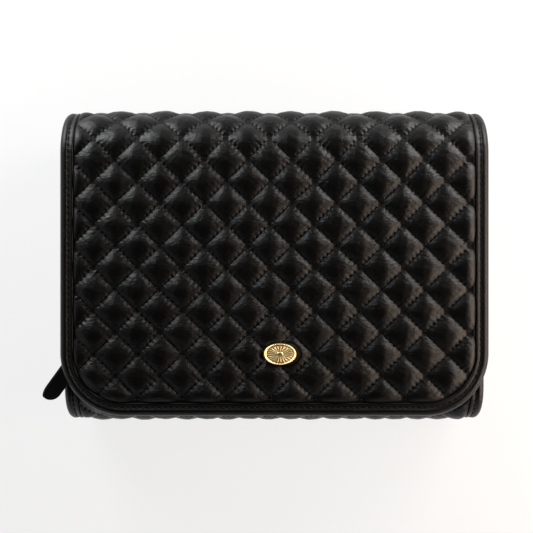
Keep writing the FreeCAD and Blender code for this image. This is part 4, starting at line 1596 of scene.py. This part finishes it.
@dataclass
class SideGussets(SubAssembly):
    """The two stiff side walls: a leather panel with a piped rim and a sewn row."""

    outer: float = 109.0
    floor_z: float = 8.1
    shelf_z: float = 33.1
    top_z: float = 41.9
    step_y: float = -24.8
    front_y: float = STRIP.bottom_y
    back_y: float = 58.5
    end_points: int = 33
    run_points: int = 40
    top_points: int = 28
    drop_points: int = 5
    shelf_points: int = 14
    insets: tuple[float, ...] = (0.0, 0.0, 0.2, 0.7, 1.4, 2.1, 2.6, 3.0, 3.5, 4.4, 6.5)
    proud: tuple[float, ...] = (-3.0, -0.3, 0.3, 0.68, 0.75, 0.55, 0.2, 0.05, 0.15, 0.32, 0.4)
    seam: float = 3.0
    pitch: float = 3.0
    thread: Thread = Thread(2.2, 0.32)
    thread_level: float = 0.1

    def outline(self, inset: float) -> tuple[Array, Array]:
        """Outline of the wall: two round ends, straight runs and the step at the lip.

        Args:
            inset: distance in from the wall's edge.

        Returns:
            Y and Z of its points.
        """
        nose = 0.5 * (self.top_z - self.floor_z)
        toe = 0.5 * (self.shelf_z - self.floor_z)
        up = np.linspace(-RIGHT_ANGLE, RIGHT_ANGLE, self.end_points)
        step_y = self.step_y + inset
        top_z = self.top_z - inset
        shelf_z = self.shelf_z - inset
        run = np.linspace(self.front_y, self.back_y, self.run_points)[1:-1]
        top = np.linspace(self.back_y, step_y, self.top_points)[1:]
        drop = np.linspace(top_z, shelf_z, self.drop_points)[1:]
        shelf = np.linspace(step_y, self.front_y, self.shelf_points)[1:-1]
        y = np.concatenate([
            run,
            self.back_y + (nose - inset) * np.cos(up),
            top,
            np.full(drop.size, step_y),
            shelf,
            self.front_y - (toe - inset) * np.cos(up),
        ])
        z = np.concatenate([
            np.full(run.size, self.floor_z + inset),
            self.floor_z + nose + (nose - inset) * np.sin(up),
            np.full(top.size, top_z),
            drop,
            np.full(shelf.size, shelf_z),
            self.floor_z + toe - (toe - inset) * np.sin(up),
        ])
        return y, z

    def sewn(self, side: Side) -> Piece:
        """The stitch row inside the piped rim.

        Args:
            side: which wall.

        Returns:
            The new object.
        """
        def place(e: Array, f: Array, h: Array) -> Array:
            """A point on the wall's outer face."""
            return points(side.value * (self.outer + h), e, f)

        y, z = self.outline(self.seam)
        centres = stitch_row(np.append(y, y[0]), np.append(z, z[0]), self.pitch, 0.5 * self.pitch)
        name = f"side_gusset_stitches_{side.word}"
        return outward(self.thread.sew(name, place, centres, self.thread_level))

    def build(self) -> None:
        """Carry the rim's profile round the outline and close both faces."""
        for side in Side:
            rims = zip(self.insets, self.proud)
            rings = np.array([points(side.value * (self.outer + out), *self.outline(n)) for n, out in rims])
            wall = tube(f"side_gusset_{side.word}", rings)
            self.dress(wall, Finish.BINDING, "binding_leather", f"side_wall_{side.word}", body="case")
            self.dress(self.sewn(side), Finish.THREAD, "binding_leather", body="case")


@dataclass
class KeptSolids(SubAssembly):
    """Stiff parts whose CAD shape is right: they stay, with a better finish."""

    def build(self) -> None:
        """Give each kept node its finish."""
        zip_metal = ("zip_teeth_lower", "zip_teeth_upper", "zip_stops", "zip_slider")
        finishes = {
            Finish.BINDING: ("zip_facing_lower", "zip_facing_upper"),
            Finish.SUEDE: ("pocket_partition",),
            Finish.TAPE: ("zip_tape_lower", "zip_tape_upper"),
            Finish.ELASTIC: ("ring_roll_loop_pad", "ring_roll_hook_pad"),
            Finish.GOLD: (*zip_metal, "pull_ring", "pull_rivet", "ring_roll_pivot"),
            Finish.STEEL: ("flap_magnets", "lip_magnets", "badge_washers"),
            Finish.BOARD: ("flap_board", "back_board", "lip_board"),
        }
        for finish, nodes in finishes.items():
            for node in nodes:
                self.paint(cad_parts[node], finish)


@dataclass(frozen=True)
class Lamp:
    """A rectangular soft light aimed at the case, in metres and watts."""

    name: str
    place: Point
    size: tuple[float, float]
    watts: float
    colour: Colour
    target: Point = (0.0, 0.0, 0.03)

    def build(self) -> None:
        """Hang the lamp and turn it to the case."""
        data = bpy.data.lights.new(self.name, "AREA")
        data.shape = "RECTANGLE"
        data.size, data.size_y = self.size
        data.energy = self.watts
        data.color = self.colour
        lamp = bpy.data.objects.new(self.name, data)
        lamp.location = self.place
        aim = Vector(self.target) - Vector(self.place)
        lamp.rotation_euler = aim.to_track_quat("-Z", "Y").to_euler()
        bpy.context.scene.collection.objects.link(lamp)


@dataclass
class Studio:
    """Floor, light and the camera of the photograph, in metres."""

    camera_place: Point = (-0.00425, 0.0, 0.522)
    lens: float = 59.76
    sensor: float = 36.0
    lamps: tuple[Lamp, ...] = (
        Lamp("left_window", (-0.34, 0.36, 0.18), (0.24, 0.2), 2.5, (0.97, 1.0, 1.0)),
        Lamp("right_window", (0.38, 0.34, 0.20), (0.28, 0.2), 3.0, (1.0, 0.98, 0.95)),
        Lamp("warm_wall", (0.38, -0.06, 0.17), (0.4, 0.2), 1.9, (1.0, 0.78, 0.62)),
    )
    sky: tuple[float, float, float, float] = (0.82, 0.84, 0.86, 1)
    sky_strength: float = 0.035
    floor_radius: float = 2.4
    floor_level: float = -0.00005
    floor_white: float = 0.8
    floor_hole: float = 0.01
    floor_sides: int = 96
    cove_radius: float = 1.0
    cove_steps: int = 12
    wall_coves: float = 2.0

    def camera(self) -> None:
        """A camera straight above the case, its picture's top towards the top fold."""
        data = bpy.data.cameras.new("camera")
        data.lens = self.lens
        data.sensor_width = self.sensor
        camera = bpy.data.objects.new("camera", data)
        camera.location = self.camera_place
        bpy.context.scene.collection.objects.link(camera)
        bpy.context.scene.camera = camera

    def pale(self) -> bpy.types.Material:
        """A pale matt finish that is nearly white where the camera, a mirror or glass looks.

        Returns:
            The new material.
        """
        tree = NodeTree("pale_floor")
        tree.set(Base_Color=(0.9, 0.9, 0.9, 1), Roughness=0.9, Specular_IOR_Level=0.1)
        glow = tree.add("ShaderNodeEmission", in_Color=(1, 1, 1, 1), in_Strength=1.0)
        path = tree.add("ShaderNodeLightPath")
        seen = path.outputs["Is Camera Ray"]
        for ray in ("Is Glossy Ray", "Is Transmission Ray"):
            seen = tree.maths("MAXIMUM", seen, path.outputs[ray])
        mix = tree.add("ShaderNodeMixShader")
        tree.link(tree.maths("MULTIPLY", seen, self.floor_white), mix.inputs["Fac"])
        tree.link(tree.shader.outputs["BSDF"], mix.inputs[1])
        tree.link(glow.outputs["Emission"], mix.inputs[2])
        tree.link(mix.outputs["Shader"], tree.tree.nodes["Material Output"].inputs["Surface"])
        return tree.material

    def floor(self) -> None:
        """A pale floor that curves up to a round wall, and keeps a faint shadow.

        A profile of a straight run, a quarter circle and a rise is turned round Z.
        """
        bend = np.linspace(0.0, RIGHT_ANGLE, self.cove_steps)[1:]
        reach = self.floor_radius / MM
        cove = self.cove_radius / MM
        flat = [self.floor_hole * reach, reach]
        radius = np.concatenate([flat, reach + cove * np.sin(bend), [reach + cove]])[:, None]
        wall = [self.wall_coves * cove]
        rise = np.concatenate([[0.0, 0.0], cove * (1.0 - np.cos(bend)), wall])[:, None]
        turn = around(self.floor_sides)
        verts = points(radius * np.cos(turn), radius * np.sin(turn), rise + self.floor_level / MM)
        quads = grid_quads(rise.size, turn.size, wrap=True)[:, ::-1]
        piece = add_mesh("floor", verts, quads, [np.arange(turn.size)])
        piece.data.materials.append(self.pale())

    def build(self) -> None:
        """Set the stage."""
        self.camera()
        self.floor()
        for lamp in self.lamps:
            lamp.build()
        world = bpy.data.worlds.new("studio")
        world.use_nodes = True
        background = world.node_tree.nodes["Background"]
        background.inputs["Color"].default_value = self.sky
        background.inputs["Strength"].default_value = self.sky_strength
        bpy.context.scene.world = world
        bpy.context.scene.view_settings.view_transform = "Standard"


SUB_ASSEMBLIES = (
    QuiltedCover,
    EdgeBinding,
    Lining,
    SideGussets,
    PullTab,
    BadgePlate,
    TrayFittings,
    FlatSeams,
    KeptSolids,
)


def main() -> None:
    """Build the case in order and report each piece with its count of faces."""
    logging.basicConfig(level=logging.INFO, format="%(message)s")
    palette = {finish: finish.value.build() for finish in Finish}
    Studio().build()
    for kind in SUB_ASSEMBLIES:
        assembly = kind(palette)
        assembly.build()
        for piece in assembly.made:
            LOG.info("%s, %s: %d faces", kind.__name__, piece.name, len(piece.data.polygons))


if __name__ == "__main__":
    main()
